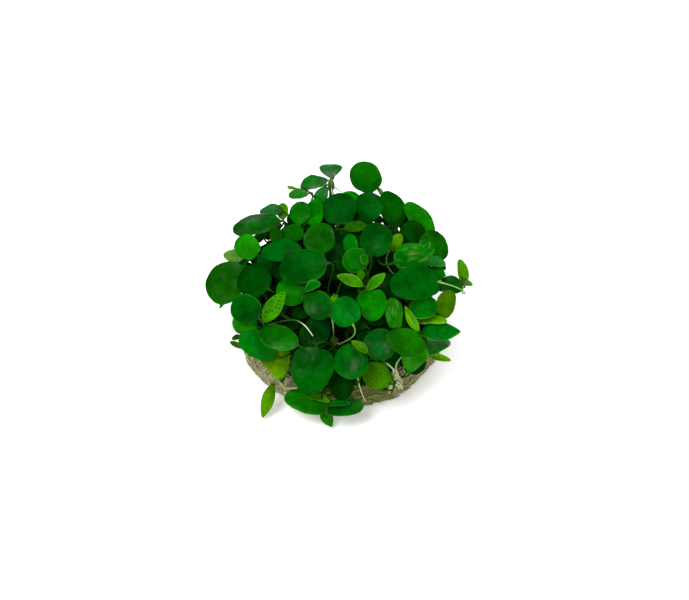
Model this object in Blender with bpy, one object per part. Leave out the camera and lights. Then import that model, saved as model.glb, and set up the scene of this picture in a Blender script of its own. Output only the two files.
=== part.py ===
"""Amazon frogbit: a clump of young plants on a round felted pad of their own roots.

Tables and sizes are in millimetres and the scene is in metres. The origin is the centre of the pad's flat
underside, +Z is up and the pictured side faces -Y. Each plant has a crown with a stem down to the pad. Its young
leaves and roots are one piece with the crown, and each grown leaf is a piece of its own.
"""

import math
import random
from typing import NamedTuple

import bmesh
import bpy
from mathutils import Matrix, Vector
from mathutils.bvhtree import BVHTree

for startup_object in list(bpy.data.objects):
    bpy.data.objects.remove(startup_object)

# Real sizes
PAD_RADIUS = 27.8
PAD_FOOT_RADIUS = 24.2
PAD_HEIGHT = 9.5
PAD_SIDES = 20
MOUND_RADIUS = 19.0
MOUND_RISE = 16.0
DOME_RADIUS = 34.5
DOME_RISE = 29.5
DOME_WAIST = 12.0
STALK_RADIUS = 0.4
BLADE_THICKNESS = 0.6
CROWN_RADIUS = 1.3
CROWN_HEIGHT = 4.5
STEM_RADIUS = 0.75
STEM_INSET = 6.0
STEM_CLEARANCE = 0.5
ROOT_RADIUS = 0.3
GAP = 0.32

# Where the picture was taken from
EYE_DISTANCE = 500.0
EYE_ELEVATION = math.radians(41.5)
PICTURE_SCALE = 0.28
PICTURE_CENTRE = (344.5, 300.0)
PICTURE_ORIGIN = (340.5, 343.0)

RIGHT = Vector((1, 0, 0))
UPWARD = Vector((0, math.sin(EYE_ELEVATION), math.cos(EYE_ELEVATION)))
TOWARD = Vector((0, -math.cos(EYE_ELEVATION), math.sin(EYE_ELEVATION)))
AIM = PICTURE_SCALE * (
    (PICTURE_CENTRE[0] - PICTURE_ORIGIN[0]) * RIGHT + (PICTURE_ORIGIN[1] - PICTURE_CENTRE[1]) * UPWARD
)
EYE = AIM + EYE_DISTANCE * TOWARD


def sight(x, y):
    """The direction from the eye through a point of the picture."""
    across = (x - PICTURE_CENTRE[0]) * PICTURE_SCALE
    down = (y - PICTURE_CENTRE[1]) * PICTURE_SCALE
    return (across * RIGHT - down * UPWARD - EYE_DISTANCE * TOWARD).normalized()


def on_dome(x, y, lift):
    """Where the line of sight meets the dome of the clump, scaled by lift about its middle."""
    ray = sight(x, y)
    radii = (DOME_RADIUS * lift, DOME_RADIUS * lift, DOME_RISE * lift)
    start = Vector([p / r for p, r in zip(EYE - Vector((0, 0, DOME_WAIST)), radii)])
    step = Vector([p / r for p, r in zip(ray, radii)])
    half = start.dot(step)
    inside = half * half - step.dot(step) * (start.dot(start) - 1)
    return EYE + ray * ((-half - math.sqrt(max(inside, 0.0))) / step.dot(step))


# How each kind of leaf is formed: how far its widest part lies toward the tip, how pointed it is, how cupped, how
# folded along its midrib, and how far its ends droop
FORMS = {
    "round": (1.0, 0.0, 0.10, 0.0, -0.05),
    "fan": (1.8, 0.0, 0.12, 0.0, -0.04),
    "cap": (1.3, 0.0, 0.10, 0.0, -0.04),
    "shield": (0.65, 0.0, 0.10, 0.0, -0.05),
    "oval": (1.0, 0.15, 0.12, 0.0, -0.06),
    "flat": (1.0, 0.12, 0.05, 0.0, -0.01),
    "pointed": (1.0, 0.75, 0.08, 0.10, -0.05),
    "young": (1.0, 0.6, 0.10, 0.35, -0.03),
    "rolled": (1.0, 0.3, 0.30, 0.9, 0.03),
}


class Leaf(NamedTuple):
    """A leaf by its blade's middle in the picture, its real size, and the way its upper side leans from the eye."""

    crown: str
    x: float
    y: float
    lift: float
    length: float
    width: float
    tip: float
    right: float
    up: float
    form: str
    tone: str


# Crowns by their place in the picture and their lift, or by their place in millimetres, with the share of the
# stem that runs sideways before it turns down
CROWNS = {
    "low_front": on_dome(333, 387, 0.885),
    "front_left": on_dome(292, 356, 0.70),
    "hollow": on_dome(334, 341, 0.74),
    "front": on_dome(356, 362, 0.74),
    "front_right": on_dome(421, 334, 0.88),
    "rim": on_dome(397, 377, 0.90),
    "left": on_dome(258, 326, 0.74),
    "far_left": on_dome(262, 285, 0.70),
    "centre": on_dome(334, 300, 0.76),
    "vee": on_dome(364, 291, 0.90),
    "right": on_dome(415, 292, 0.68),
    "upper_left": on_dome(292, 238, 0.66),
    "upper": on_dome(344, 226, 0.68),
    "upper_right": on_dome(392, 230, 0.68),
    "crest": on_dome(331, 184, 1.16),
    "runner": on_dome(462, 284, 1.02),
    "back_left": Vector((-20, 17, 16)),
    "back": Vector((1, 26, 19)),
    "back_right": Vector((21, 15, 16)),
}
RUNS = {"crest": 0.2, "runner": 0.9}
# A crown lower than this stands nearly over its stem's foot. The foot's distance from the pad's middle, as a share
# of the crown's, for such a crown and for a higher one
LOW_CROWN = 15.0
LOW_STAND = 0.95
HIGH_STAND = 0.8

GROWN = {
    "crest_round": Leaf("upper_right", 365.5, 176.8, 1.20, 9.3, 8.3, 138, 5, 12, "round", "deep"),
    "crest_flat": Leaf("crest", 330.5, 168.8, 1.22, 7.0, 6.4, 93, 0, 56, "cap", "mid"),
    "crest_side": Leaf("crest", 313.5, 181.5, 1.16, 7.8, 5.6, 192, -10, 54, "oval", "mid"),
    "crest_upright": Leaf("crest", 321, 198, 1.05, 6.8, 5.0, -108, -38, 12, "oval", "mid"),
    "upper_mid": Leaf("upper", 340, 208, 1.04, 9.4, 9.0, 80, -5, 22, "round", "deep"),
    "upper_dark": Leaf("upper", 370, 206, 1.01, 8.2, 7.8, 60, 10, 20, "round", "deep"),
    "upper_tall": Leaf("upper_right", 393.5, 208.5, 1.00, 10.8, 9.2, 105, 36, 18, "oval", "deep"),
    "upper_right": Leaf("upper_right", 421, 220, 1.02, 12.4, 8.0, 122, 34, 18, "oval", "fresh"),
    "edge_right": Leaf("right", 432, 247, 0.97, 9.8, 9.0, 60, 28, 10, "round", "deep"),
    "mottled": Leaf("upper_right", 412, 258, 1.03, 10.0, 8.4, 15, 15, 18, "round", "mottled"),
    "broad_right": Leaf("runner", 415, 283.5, 1.07, 13.4, 9.2, 186, 14, 16, "round", "deep"),
    "runner_leaf": Leaf("runner", 451.5, 285, 0.97, 6.6, 5.4, 178, 20, 28, "round", "deep"),
    "pointed": Leaf("front_right", 441, 331, 1.03, 11.0, 6.8, 5, 10, 38, "pointed", "deep"),
    "pointed_under": Leaf("front_right", 438.5, 344.5, 0.97, 9.2, 5.6, 34, 20, 46, "oval", "mid"),
    "right_green": Leaf("right", 424, 308, 1.01, 8.0, 6.4, 20, 20, 28, "round", "mid"),
    "lime_fold": Leaf("front_right", 411.5, 319, 1.04, 7.8, 2.8, 118, -25, 0, "young", "lime"),
    "mid_round": Leaf("upper", 376, 239, 1.04, 9.0, 8.6, 70, 5, 10, "round", "deep"),
    "mid_curl": Leaf("vee", 355, 260, 1.03, 6.8, 6.6, 200, 0, 10, "round", "mid"),
    "heart": Leaf("vee", 371.8, 306, 1.03, 8.2, 7.8, -80, 5, -6, "shield", "fresh"),
    "mid_low": Leaf("hollow", 345, 311, 1.02, 7.8, 7.8, 120, -10, 5, "round", "mid"),
    "mid_left": Leaf("centre", 318, 305, 1.00, 8.0, 7.2, 135, -15, 8, "round", "mid"),
    "left_round": Leaf("upper", 320, 238, 1.05, 8.4, 8.4, 100, -10, 14, "round", "mid"),
    "left_strips": Leaf("upper_left", 314, 212, 1.00, 8.0, 6.4, 95, -34, 18, "oval", "mid"),
    "wing": Leaf("upper_left", 256.3, 224.7, 1.04, 13.4, 8.6, 190, -15, 46, "flat", "deep"),
    "bright_left": Leaf("far_left", 246.5, 246, 1.02, 7.9, 6.6, 140, -20, 20, "round", "fresh"),
    "big_left": Leaf("far_left", 225.5, 282.5, 1.02, 12.4, 11.4, 225, -24, 14, "round", "deep"),
    "dark_left": Leaf("far_left", 253, 280, 1.00, 9.8, 9.4, 150, -20, 18, "round", "deep"),
    "crest_left": Leaf("upper_left", 281, 250, 1.00, 11.4, 7.2, 180, -20, 38, "oval", "deep"),
    "broad_left": Leaf("centre", 302.5, 265.5, 1.06, 13.0, 9.6, 187, -14, 22, "round", "mid"),
    "speckled": Leaf("left", 274, 307, 1.02, 9.8, 4.8, 55, -10, 8, "young", "speckled"),
    "low_left": Leaf("left", 245, 309, 1.00, 9.2, 7.8, 160, -28, 10, "round", "mid"),
    "bright_low": Leaf("left", 256.5, 345.3, 0.97, 11.8, 7.2, 150, -18, 8, "oval", "fresh"),
    "shelf_left": Leaf("front_left", 278, 337, 1.04, 11.4, 7.0, 160, -12, 26, "oval", "mid"),
    "olive_low": Leaf("front_left", 277.5, 361.5, 0.95, 9.6, 8.2, 102, -15, 0, "fan", "olive"),
    "broad_front": Leaf("hollow", 311.5, 371, 1.05, 12.2, 11.2, -100, -5, 0, "shield", "deep"),
    "apron": Leaf("low_front", 307, 401, 0.94, 13.2, 8.0, 162, -5, 34, "oval", "mid"),
    "front_grey": Leaf("low_front", 346, 408.6, 0.97, 9.8, 5.8, 14, 5, 40, "oval", "mid"),
    "gloss_front": Leaf("front", 351, 361, 1.04, 9.2, 9.0, 120, -10, 8, "round", "mid"),
    "front_round": Leaf("front", 380, 344, 1.02, 8.4, 8.0, 100, 0, 8, "round", "mid"),
    "front_right": Leaf("front_right", 406, 342, 1.08, 11.0, 7.6, 165, 20, 16, "oval", "mid"),
}

YOUNG = {
    "thin_right": Leaf("right", 446.3, 304, 0.97, 7.6, 6.2, 75, 35, 0, "round", "olive"),
    "pale_gloss": Leaf("right", 395, 313, 0.98, 8.0, 6.0, 95, 34, 8, "round", "mottled"),
    "crest_small": Leaf("upper_left", 298, 193.8, 1.14, 5.4, 3.6, 185, -10, 40, "oval", "mid"),
    "crest_edge": Leaf("upper", 295, 188, 1.17, 5.0, 2.4, 168, 0, 72, "oval", "pale"),
    "upper_back": Leaf("upper", 350, 200, 1.00, 7.6, 6.0, 60, 5, 44, "oval", "fresh"),
    "edge_grey": Leaf("right", 435, 262, 0.94, 6.4, 4.4, 0, 20, 52, "oval", "mid"),
    "edge_under": Leaf("right", 436, 273.5, 0.93, 6.0, 4.4, 20, 25, 25, "round", "deep"),
    "mottled_back": Leaf("upper_right", 424.5, 250, 1.06, 6.0, 5.2, 70, 15, 14, "round", "mottled"),
    "runner_lime": Leaf("runner", 463.5, 271.5, 1.03, 7.0, 3.4, 101, 25, 0, "oval", "golden"),
    "runner_tip": Leaf("runner", 468.5, 283, 1.03, 2.8, 1.8, -20, 10, 10, "young", "young"),
    "rolled_right": Leaf("front_right", 440, 358, 0.96, 6.0, 2.0, -12, 0, 10, "rolled", "young"),
    "right_band": Leaf("front_right", 432, 319, 1.00, 8.0, 4.6, 3, 0, 60, "oval", "golden"),
    "mid_olive": Leaf("upper", 356, 227, 0.99, 6.4, 4.4, 5, 0, 48, "oval", "golden"),
    "lime_behind": Leaf("right", 396, 242, 0.97, 5.6, 3.4, 54, 10, 10, "oval", "golden"),
    "mid_small": Leaf("vee", 350, 244, 1.00, 5.8, 4.4, 100, -28, 10, "oval", "mid"),
    "curl_ring": Leaf("vee", 364, 260, 1.08, 3.2, 2.2, 95, 0, 20, "rolled", "mid"),
    "vee_left": Leaf("vee", 350, 280.5, 1.08, 7.4, 3.4, 160, 0, 22, "young", "young"),
    "vee_right": Leaf("vee", 376, 281.5, 1.08, 7.2, 2.8, 42, 18, 18, "young", "young"),
    "vee_bud": Leaf("vee", 361, 275, 1.05, 3.4, 2.2, 85, 0, 20, "young", "golden"),
    "bud": Leaf("centre", 334, 299, 0.98, 3.2, 1.8, 50, 0, 20, "young", "lime"),
    "curled_rim": Leaf("centre", 313, 287, 1.02, 4.6, 2.8, 30, 0, 28, "rolled", "fresh"),
    "left_small": Leaf("upper_left", 299, 212, 1.00, 6.8, 6.0, 120, -24, 24, "round", "mid"),
    "wing_back": Leaf("upper_left", 271, 210, 1.02, 6.6, 4.2, 180, -10, 46, "oval", "mid"),
    "wing_olive": Leaf("upper_left", 282, 211, 0.99, 4.8, 3.6, 95, -24, 10, "oval", "golden"),
    "wing_under": Leaf("upper_left", 276.5, 235.5, 0.96, 5.2, 3.6, 115, -20, 10, "oval", "sprout"),
    "pale_left": Leaf("far_left", 236, 256, 0.98, 6.8, 4.6, 182, -20, 38, "oval", "pale"),
    "dark_upper": Leaf("upper_left", 291, 232, 0.94, 7.2, 5.8, 170, -15, 36, "oval", "deep"),
    "low_left_under": Leaf("left", 243.5, 323.5, 0.97, 7.6, 6.0, 165, -30, 0, "round", "mid"),
    "sprout_high": Leaf("left", 236.5, 337.5, 1.00, 3.0, 1.4, 195, -20, 10, "rolled", "sprout"),
    "sprout_low": Leaf("left", 237.5, 345, 0.99, 4.4, 1.6, 157, -20, 10, "rolled", "sprout"),
    "apron_lime": Leaf("low_front", 319, 399, 1.00, 6.2, 3.0, -20, 0, 45, "young", "young"),
    "front_strip": Leaf("low_front", 340, 404, 1.02, 5.6, 2.6, 10, 0, 48, "young", "fresh"),
    "front_drop": Leaf("low_front", 327, 417.5, 0.98, 5.6, 3.4, -62, 0, 0, "young", "young"),
    "hanging": Leaf("front_left", 268, 400.5, 0.95, 10.0, 3.6, -108, -10, -5, "young", "lime"),
    "fold_front": Leaf("front", 360, 347, 1.05, 5.4, 3.0, 145, 20, 28, "young", "young"),
    "yellow_low": Leaf("rim", 413, 357.5, 0.98, 8.2, 7.6, 78, 10, -10, "fan", "young"),
    "olive_front": Leaf("rim", 376, 375, 0.98, 8.6, 7.0, 150, 10, -5, "oval", "olive"),
    "front_dark": Leaf("front", 341, 386, 0.93, 7.2, 6.2, -80, 0, 8, "round", "deep"),
}

# Leaves deep between the others, each at its own lift or a little further in
INNER = {
    "inner_hollow": Leaf("hollow", 318, 329, 0.84, 8.6, 7.4, 110, 0, 10, "round", "deep"),
    "inner_left": Leaf("left", 292, 318, 0.86, 8.8, 7.8, 60, -15, 10, "round", "deep"),
    "inner_shade": Leaf("centre", 291, 290, 0.90, 8.6, 7.8, 150, -15, 18, "round", "mid"),
    "inner_right": Leaf("right", 392, 286, 0.84, 8.0, 7.0, 160, 10, 18, "round", "deep"),
    "inner_upper": Leaf("upper_right", 388, 262, 0.90, 8.6, 7.4, 190, 10, 22, "round", "deep"),
    "inner_mid": Leaf("centre", 334, 268, 0.82, 8.0, 7.2, 110, 0, 22, "round", "deep"),
    "inner_far": Leaf("far_left", 267, 262, 0.86, 7.4, 6.4, 130, -15, 20, "round", "deep"),
    "inner_gap": Leaf("upper", 346, 240, 0.84, 8.0, 7.0, 95, 0, 20, "round", "deep"),
    "inner_dark": Leaf("upper", 365, 222, 0.92, 6.4, 5.0, 60, 0, 25, "round", "deep"),
    "inner_top": Leaf("upper", 326, 218, 0.88, 7.0, 6.0, 100, -5, 20, "round", "deep"),
}

# Leaves that the picture doesn't show stand in rows: lift, height on the dome, and bearings from the right
HIDDEN_ROWS = (
    (0.90, -0.22, (38, 66, 92, 120, 146)),
    (0.93, 0.10, (36, 55, 74, 93, 112, 131, 150, 170)),
    (0.90, 0.42, (14, 38, 62, 86, 110, 134, 158, 169)),
    (0.88, 0.74, (40, 85, 135)),
    (0.76, 0.20, (205, 240, 270, 300, 335)),
    (0.74, 0.55, (0, 50, 100, 150, 200, 250, 300)),
    (0.74, 0.86, (20, 260)),
)

# Roots in sight, each by its crown and the places that it passes in the picture
ROOTS = {
    "crest_root_a": ("crest", ((332, 192, 1.10), (334, 199, 1.04))),
    "crest_root_b": ("crest", ((342, 192, 1.12), (348, 199, 1.08))),
    "hollow_root": ("hollow", ((333, 325, 0.90), (330, 312, 0.93))),
    "left_root": ("left", ((289, 320, 0.91), (303, 324, 0.92), (313, 336, 0.88))),
    "front_root": ("front", ((357, 374, 0.96), (360, 388, 0.96), (365, 401, 0.92))),
    "rim_root_a": ("rim", ((392, 368, 0.98), (383, 361, 0.98))),
    "rim_root_b": ("rim", ((396, 366, 0.98), (401, 357, 0.97))),
    "rim_root_c": ("rim", ((400, 382, 0.92), (398, 389, 0.90))),
    "low_root": ("low_front", ((333, 383, 0.92), (334, 378, 0.90))),
    "foot_root": ("front_left", ((281, 376, 0.90), (284, 387, 0.92), (297, 388, 0.92))),
}

# A longer stalk than this has one bend more
LONG_STALK = 8.0
# How many ways are tried for the stalk of a leaf in the picture, and of one out of sight
SHOWN_TRIES = 900
HIDDEN_TRIES = 40
# How often a blade in the picture slides toward the eye to come clear, and how far each time
SLIDES = 80
SLIDE = 0.4
# How many places are tried for a leaf between the others, and for one out of sight
INNER_MOVES = 150
HIDDEN_MOVES = 60
# How far a blade stays above the ground
GROUND_CLEARANCE = 0.9
# Where a blade's rings lie from its base to its tip, by the number of corners that each ring has
BLADE_STEPS = {6: (0.0, 0.14, 0.42, 0.74, 0.955), 4: (0.0, 0.24, 0.60, 0.93), 3: (0.0, 0.25, 0.75, 0.95)}


class Place(NamedTuple):
    """Where a blade stands: its middle, the way its tip points, its left side and its upper side."""

    middle: Vector
    tip: Vector
    side: Vector
    face: Vector


def place_in_picture(leaf):
    """The place of a leaf that the picture shows, on the dome at the leaf's own lift."""
    toward = -sight(leaf.x, leaf.y)
    right = (RIGHT - RIGHT.dot(toward) * toward).normalized()
    upward = toward.cross(right)
    lean_right = math.tan(math.radians(leaf.right))
    lean_up = math.tan(math.radians(leaf.up))
    face = (toward + lean_right * right + lean_up * upward).normalized()
    angle = math.radians(leaf.tip)
    along = math.cos(angle) * right + math.sin(angle) * upward
    tip = (along - toward * (along.dot(face) / toward.dot(face))).normalized()
    if leaf.tone in ("olive", "pale"):
        face = -face
    return Place(on_dome(leaf.x, leaf.y, leaf.lift), tip, face.cross(tip), face)


def half_width(leaf, u):
    """Half the blade's width at u, from 0 at its base to 1 at its tip."""
    shift, point = FORMS[leaf.form][:2]
    moved = min(max(u, 0.0), 1.0) ** shift
    rounded = 2 * math.sqrt(moved * (1 - moved))
    narrowed = math.sin(math.pi * moved ** 0.85) ** 1.15 if 0 < moved < 1 else 0.0
    return leaf.width / 2 * max((1 - point) * rounded + point * narrowed, 0.12 if u < 0.5 else 0.0)


def blade_point(leaf, place, shape, u, v, spread=0.0):
    """A point of the blade's middle surface, v running from -1 at one edge to 1 at the other."""
    cup, fold, droop = FORMS[leaf.form][2:]
    half = half_width(leaf, u) + spread
    across = half * v
    rise = cup * across * across / (leaf.width / 2) + fold * abs(across)
    rise += droop * leaf.length * (2 * u - 1) ** 2 * shape["droop"]
    rise += shape["wave"] * across * math.sin(math.pi * (1.6 * u + shape["turn"]))
    along = (u - 0.5) * leaf.length + spread * (2 * u - 1)
    return place.middle + along * place.tip + across * place.side + rise * place.face


def shape_of(index):
    """The small differences between one leaf and the next."""
    pick = random.Random(100 + index)
    return {"droop": pick.uniform(0.4, 1.7), "wave": pick.uniform(-0.12, 0.12), "turn": pick.uniform(0, 2)}


def blade_rings(leaf, place, shape, corners, spread=0.0):
    """The blade's rings: six points on a grown leaf, four on a young one, three on one that is out of sight."""
    rings = []
    thick = place.face * (BLADE_THICKNESS / 2 + spread)
    for u in BLADE_STEPS[corners]:
        left = blade_point(leaf, place, shape, u, 1, spread)
        right = blade_point(leaf, place, shape, u, -1, spread)
        if corners == 6:
            inner_left = blade_point(leaf, place, shape, u, 0.5, spread)
            inner_right = blade_point(leaf, place, shape, u, -0.5, spread)
            rings.append(
                [left, inner_left + thick, inner_right + thick, right, inner_right - thick, inner_left - thick]
            )
        else:
            middle = blade_point(leaf, place, shape, u, 0, spread)
            rings.append([left, middle + thick, right, middle - thick])
            if corners == 3:
                rings[-1] = [left + thick / 2, right + thick / 2, middle - thick]
    return rings


def curve_points(points, steps):
    """Points along a Bezier curve of four control points, both ends included."""
    a, b, c, d = points
    found = []
    for i in range(steps + 1):
        t = i / steps
        s = 1 - t
        found.append(s ** 3 * a + 3 * s * s * t * b + 3 * s * t * t * c + t ** 3 * d)
    return found


def tube_rings(points, radii, side, face, corners):
    """Rings of a tube along points, the first of them turned to side and face."""
    rings = []
    tangent = (points[1] - points[0]).normalized()
    for i, point in enumerate(points):
        before = points[max(i - 1, 0)]
        after = points[min(i + 1, len(points) - 1)]
        heading = (after - before).normalized()
        turn = tangent.rotation_difference(heading)
        side = turn @ side
        face = turn @ face
        tangent = heading
        ring = []
        for k in range(corners):
            angle = 2 * math.pi * k / corners
            ring.append(point + radii[i] * (math.cos(angle) * side + math.sin(angle) * face))
        rings.append(ring)
    return rings


def skin(rings):
    """A closed mesh over rings, as points and triangles that face outward."""
    points = [p for ring in rings for p in ring]
    corners = len(rings[0])
    faces = []
    for i in range(len(rings) - 1):
        for k in range(corners):
            a = i * corners + k
            b = i * corners + (k + 1) % corners
            faces.append((a, b, b + corners))
            faces.append((a, b + corners, a + corners))
    last = (len(rings) - 1) * corners
    for k in range(1, corners - 1):
        faces.append((0, k + 1, k))
        faces.append((last, last + k, last + k + 1))
    volume = sum(points[a].dot(points[b].cross(points[c])) for a, b, c in faces)
    if volume < 0:
        faces = [(a, c, b) for a, b, c in faces]
    return points, faces


def cuts_itself(mesh):
    """Whether two faces of a mesh that don't share a corner cross each other."""
    points, faces = mesh
    tree = BVHTree.FromPolygons(points, faces)
    return any(not set(faces[a]) & set(faces[b]) for a, b in tree.overlap(tree))


class Obstacles:
    """The pieces placed so far, for asking whether a new one would cut into any of them."""

    def __init__(self):
        self.kept = []

    def add(self, mesh, owner):
        points, faces = mesh
        self.kept.append((self.box(points), BVHTree.FromPolygons(points, faces), owner))

    def box(self, points):
        low = [min(p[i] for p in points) for i in range(3)]
        high = [max(p[i] for p in points) for i in range(3)]
        return low, high

    def hit(self, mesh, leave=()):
        points, faces = mesh
        low, high = self.box(points)
        tree = None
        for (other_low, other_high), other, owner in self.kept:
            if owner in leave:
                continue
            if any(low[i] > other_high[i] or high[i] < other_low[i] for i in range(3)):
                continue
            tree = tree or BVHTree.FromPolygons(points, faces)
            if tree.overlap(other):
                return owner
        return None


def pad_top(x, y):
    """The height of the pad's uneven top, which rises to a mound of roots in the middle."""
    angle = math.atan2(y, x)
    radius = math.hypot(x, y)
    mound = MOUND_RISE * math.cos(math.pi / 2 * min(radius / MOUND_RADIUS, 1.0)) ** 1.3
    lump = 0.4 * math.sin(5 * angle + 1.0) + 0.3 * math.sin(2 * angle + 0.4 * radius)
    return PAD_HEIGHT + mound + lump * min(radius / 8, 1.0)


def pad_mesh():
    """The root pad: a flat foot, a rounded lower edge, a steep side and an uneven top."""
    profile = (
        (PAD_FOOT_RADIUS, 0.0, 0.0),
        (PAD_FOOT_RADIUS + 2.2, 0.8, 0.5),
        (PAD_RADIUS, 2.9, 1.0),
        (PAD_RADIUS - 0.2, 6.0, 1.0),
        (PAD_RADIUS - 1.4, PAD_HEIGHT - 1.2, 0.9),
        (PAD_RADIUS - 4.0, None, 0.6),
        (MOUND_RADIUS, None, 0.0),
        (MOUND_RADIUS * 0.72, None, 0.0),
        (MOUND_RADIUS * 0.42, None, 0.0),
        (MOUND_RADIUS * 0.14, None, 0.0),
    )
    rings = []
    for radius, height, uneven in profile:
        ring = []
        for k in range(PAD_SIDES):
            angle = 2 * math.pi * k / PAD_SIDES
            bump = 0.55 * math.sin(3 * angle + 0.8) + 0.35 * math.sin(7 * angle + 2.1)
            x = (radius + uneven * bump) * math.cos(angle)
            y = (radius + uneven * bump) * math.sin(angle)
            ring.append(Vector((x, y, pad_top(x, y) if height is None else height)))
        rings.append(ring)
    return skin(rings)


def crown_path(name):
    """The line of a plant's stem and crown, from its foot on the pad to the crown's top."""
    crown = CROWNS[name]
    flat = Vector((crown.x, crown.y, 0))
    reach = min(flat.length, PAD_RADIUS - STEM_INSET)
    low = crown.z < LOW_CROWN
    foot = flat.normalized() * reach * (LOW_STAND if low else HIGH_STAND)
    foot.z = GAP + max(
        pad_top(foot.x + STEM_RADIUS * math.cos(turn), foot.y + STEM_RADIUS * math.sin(turn)) for turn in range(6)
    ) + STEM_CLEARANCE
    run = RUNS.get(name, 0.0)
    height = max(crown.z - foot.z, CROWN_HEIGHT)
    rise = ((crown - foot).normalized() + Vector((0, 0, 1.0))).normalized()
    under = crown - rise * CROWN_HEIGHT / 2
    inward = (foot - under) * run
    inward.z = 0.0
    first = foot + Vector((0, 0, height * (0.9 if low else 0.35 + 0.4 * run)))
    second = under + inward - rise * height * 0.3 * (1 - run)
    stem = curve_points((foot, first, second, under), 3)
    return stem + [crown, crown + rise * CROWN_HEIGHT * 0.35, crown + rise * CROWN_HEIGHT * 0.6]


def crown_mesh(name):
    points = crown_path(name)
    radii = [STEM_RADIUS] * 3 + [CROWN_RADIUS * 0.75, CROWN_RADIUS, CROWN_RADIUS * 0.75, 0.3]
    start = Vector((0, 0, 1)).rotation_difference(points[1] - points[0])
    return skin(tube_rings(points, radii, start @ Vector((1, 0, 0)), start @ Vector((0, 1, 0)), 4))


def root_mesh(name):
    """A root from the middle of its crown through its places in the picture."""
    crown, places = ROOTS[name]
    knots = [CROWNS[crown] - Vector((0, 0, 0.6))] + [on_dome(*place) for place in places]
    points = []
    for i in range(len(knots) - 1):
        before = knots[max(i - 1, 0)]
        after = knots[min(i + 2, len(knots) - 1)]
        reach = (knots[i + 1] - knots[i]) / 3
        first = knots[i] + (knots[i + 1] - before) / 6 if i else knots[i] + reach
        second = knots[i + 1] - (after - knots[i]) / 6
        points += curve_points((knots[i], first, second, knots[i + 1]), 2)[(1 if i else 0):]
    radii = [ROOT_RADIUS * (1.25 - 0.5 * i / (len(points) - 1)) for i in range(len(points))]
    side = (points[1] - points[0]).orthogonal().normalized()
    face = side.cross(points[1] - points[0]).normalized()
    return skin(tube_rings(points, radii, side, face, 3))


def stalk_controls(leaf, place, shape, base_angle, base_height, sway, joined):
    """The four control points of a leaf's stalk, from the blade's base to the crown."""
    crown = CROWNS[leaf.crown]
    base = blade_point(leaf, place, shape, 0, 0)
    reach = base - crown
    level = Vector((reach.x, reach.y, 0))
    out = level.normalized() if level.length > 0.5 else Vector((0, -1, 0))
    out = Matrix.Rotation(base_angle, 3, "Z") @ out
    stand = CROWN_RADIUS * 0.4 if joined else CROWN_RADIUS + STALK_RADIUS + GAP
    end = crown + out * stand + Vector((0, 0, base_height))
    length = (base - end).length
    climb = (out * 0.6 + Vector((0, 0, 0.8 if reach.z > 0 else 0.1))).normalized()
    first = base - place.tip * length * 0.36 - place.face * length * 0.06 + sway[0]
    second = end + climb * length * 0.34 + sway[1]
    return base, first, second, end


def leaf_mesh(leaf, place, shape, controls, corners, spread=0.0):
    """A whole leaf: its stalk from the crown to the blade, then the blade."""
    long = corners != 3 and (controls[0] - controls[3]).length > LONG_STALK
    path = curve_points(controls, 3 if long else 2)[1:]
    radii = [STALK_RADIUS + spread] * len(path)
    tangent = (path[1] - path[0]).normalized()
    start = (-place.tip).rotation_difference(tangent)
    rings = tube_rings(path, radii, start @ place.side, start @ place.face, corners)
    return skin(rings[::-1] + blade_rings(leaf, place, shape, corners, spread))


def stalk_mesh(place, controls, spread):
    """The stalk alone, from a little way below the blade, for asking what it would touch."""
    path = curve_points(controls, 12)[2:]
    tangent = (path[1] - path[0]).normalized()
    start = (-place.tip).rotation_difference(tangent)
    radii = [STALK_RADIUS + spread] * len(path)
    return skin(tube_rings(path, radii, start @ place.side, start @ place.face, 5))


def clear_blade(leaf, place, shape, corners, obstacles):
    """Whether a blade touches nothing and stays off the ground."""
    mesh = skin(blade_rings(leaf, place, shape, corners, GAP))
    return min(p.z for p in mesh[0]) > GROUND_CLEARANCE and not obstacles.hit(mesh)


def lift_of(point):
    """How far out a point stands, as a share of the dome."""
    above = max(point.z - DOME_WAIST, 0.0) / DOME_RISE
    return math.sqrt((point.x ** 2 + point.y ** 2) / DOME_RADIUS ** 2 + above ** 2)


def clear_stalk(name, leaf, place, shape, corners, obstacles, tries):
    """A stalk that touches nothing, by the first of many tries, or None."""
    pick = random.Random(name)
    joined = corners != 6
    leave = {name}
    if joined:
        leave |= {leaf.crown} | {root for root, (crown, _) in ROOTS.items() if crown == leaf.crown}
    siblings = {other for other, row in YOUNG.items() if joined and row.crown == leaf.crown}
    blade = BVHTree.FromPolygons(*skin(blade_rings(leaf, place, shape, corners)[1:]))
    for attempt in range(tries):
        loose = attempt * 6 / tries
        turn = pick.uniform(-1, 1) * min(0.25 * loose, 1.6)
        height = pick.uniform(-1, 1) * min(0.4 + 0.4 * loose, 0.9 if joined else 1.8)
        sway = [Vector([pick.uniform(-1.6, 1.6) * loose for _ in range(3)]) for _ in range(2)]
        controls = stalk_controls(leaf, place, shape, turn, height, sway, joined)
        path = curve_points(controls, 8)
        if max(lift_of(p) for p in path) > lift_of(path[0]) + 0.02 + 0.03 * loose:
            continue
        mesh = stalk_mesh(place, controls, GAP * 0.8)
        if min(p.z for p in mesh[0]) < 2 * GROUND_CLEARANCE:
            continue
        whole = leaf_mesh(leaf, place, shape, controls, corners)
        if attempt == tries // 2:
            leave |= siblings
        if obstacles.hit(mesh, leave) or obstacles.hit(whole, leave) or cuts_itself(whole):
            continue
        if not blade.overlap(BVHTree.FromPolygons(*stalk_mesh(place, controls, 0.1))):
            return controls
    return None


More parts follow.
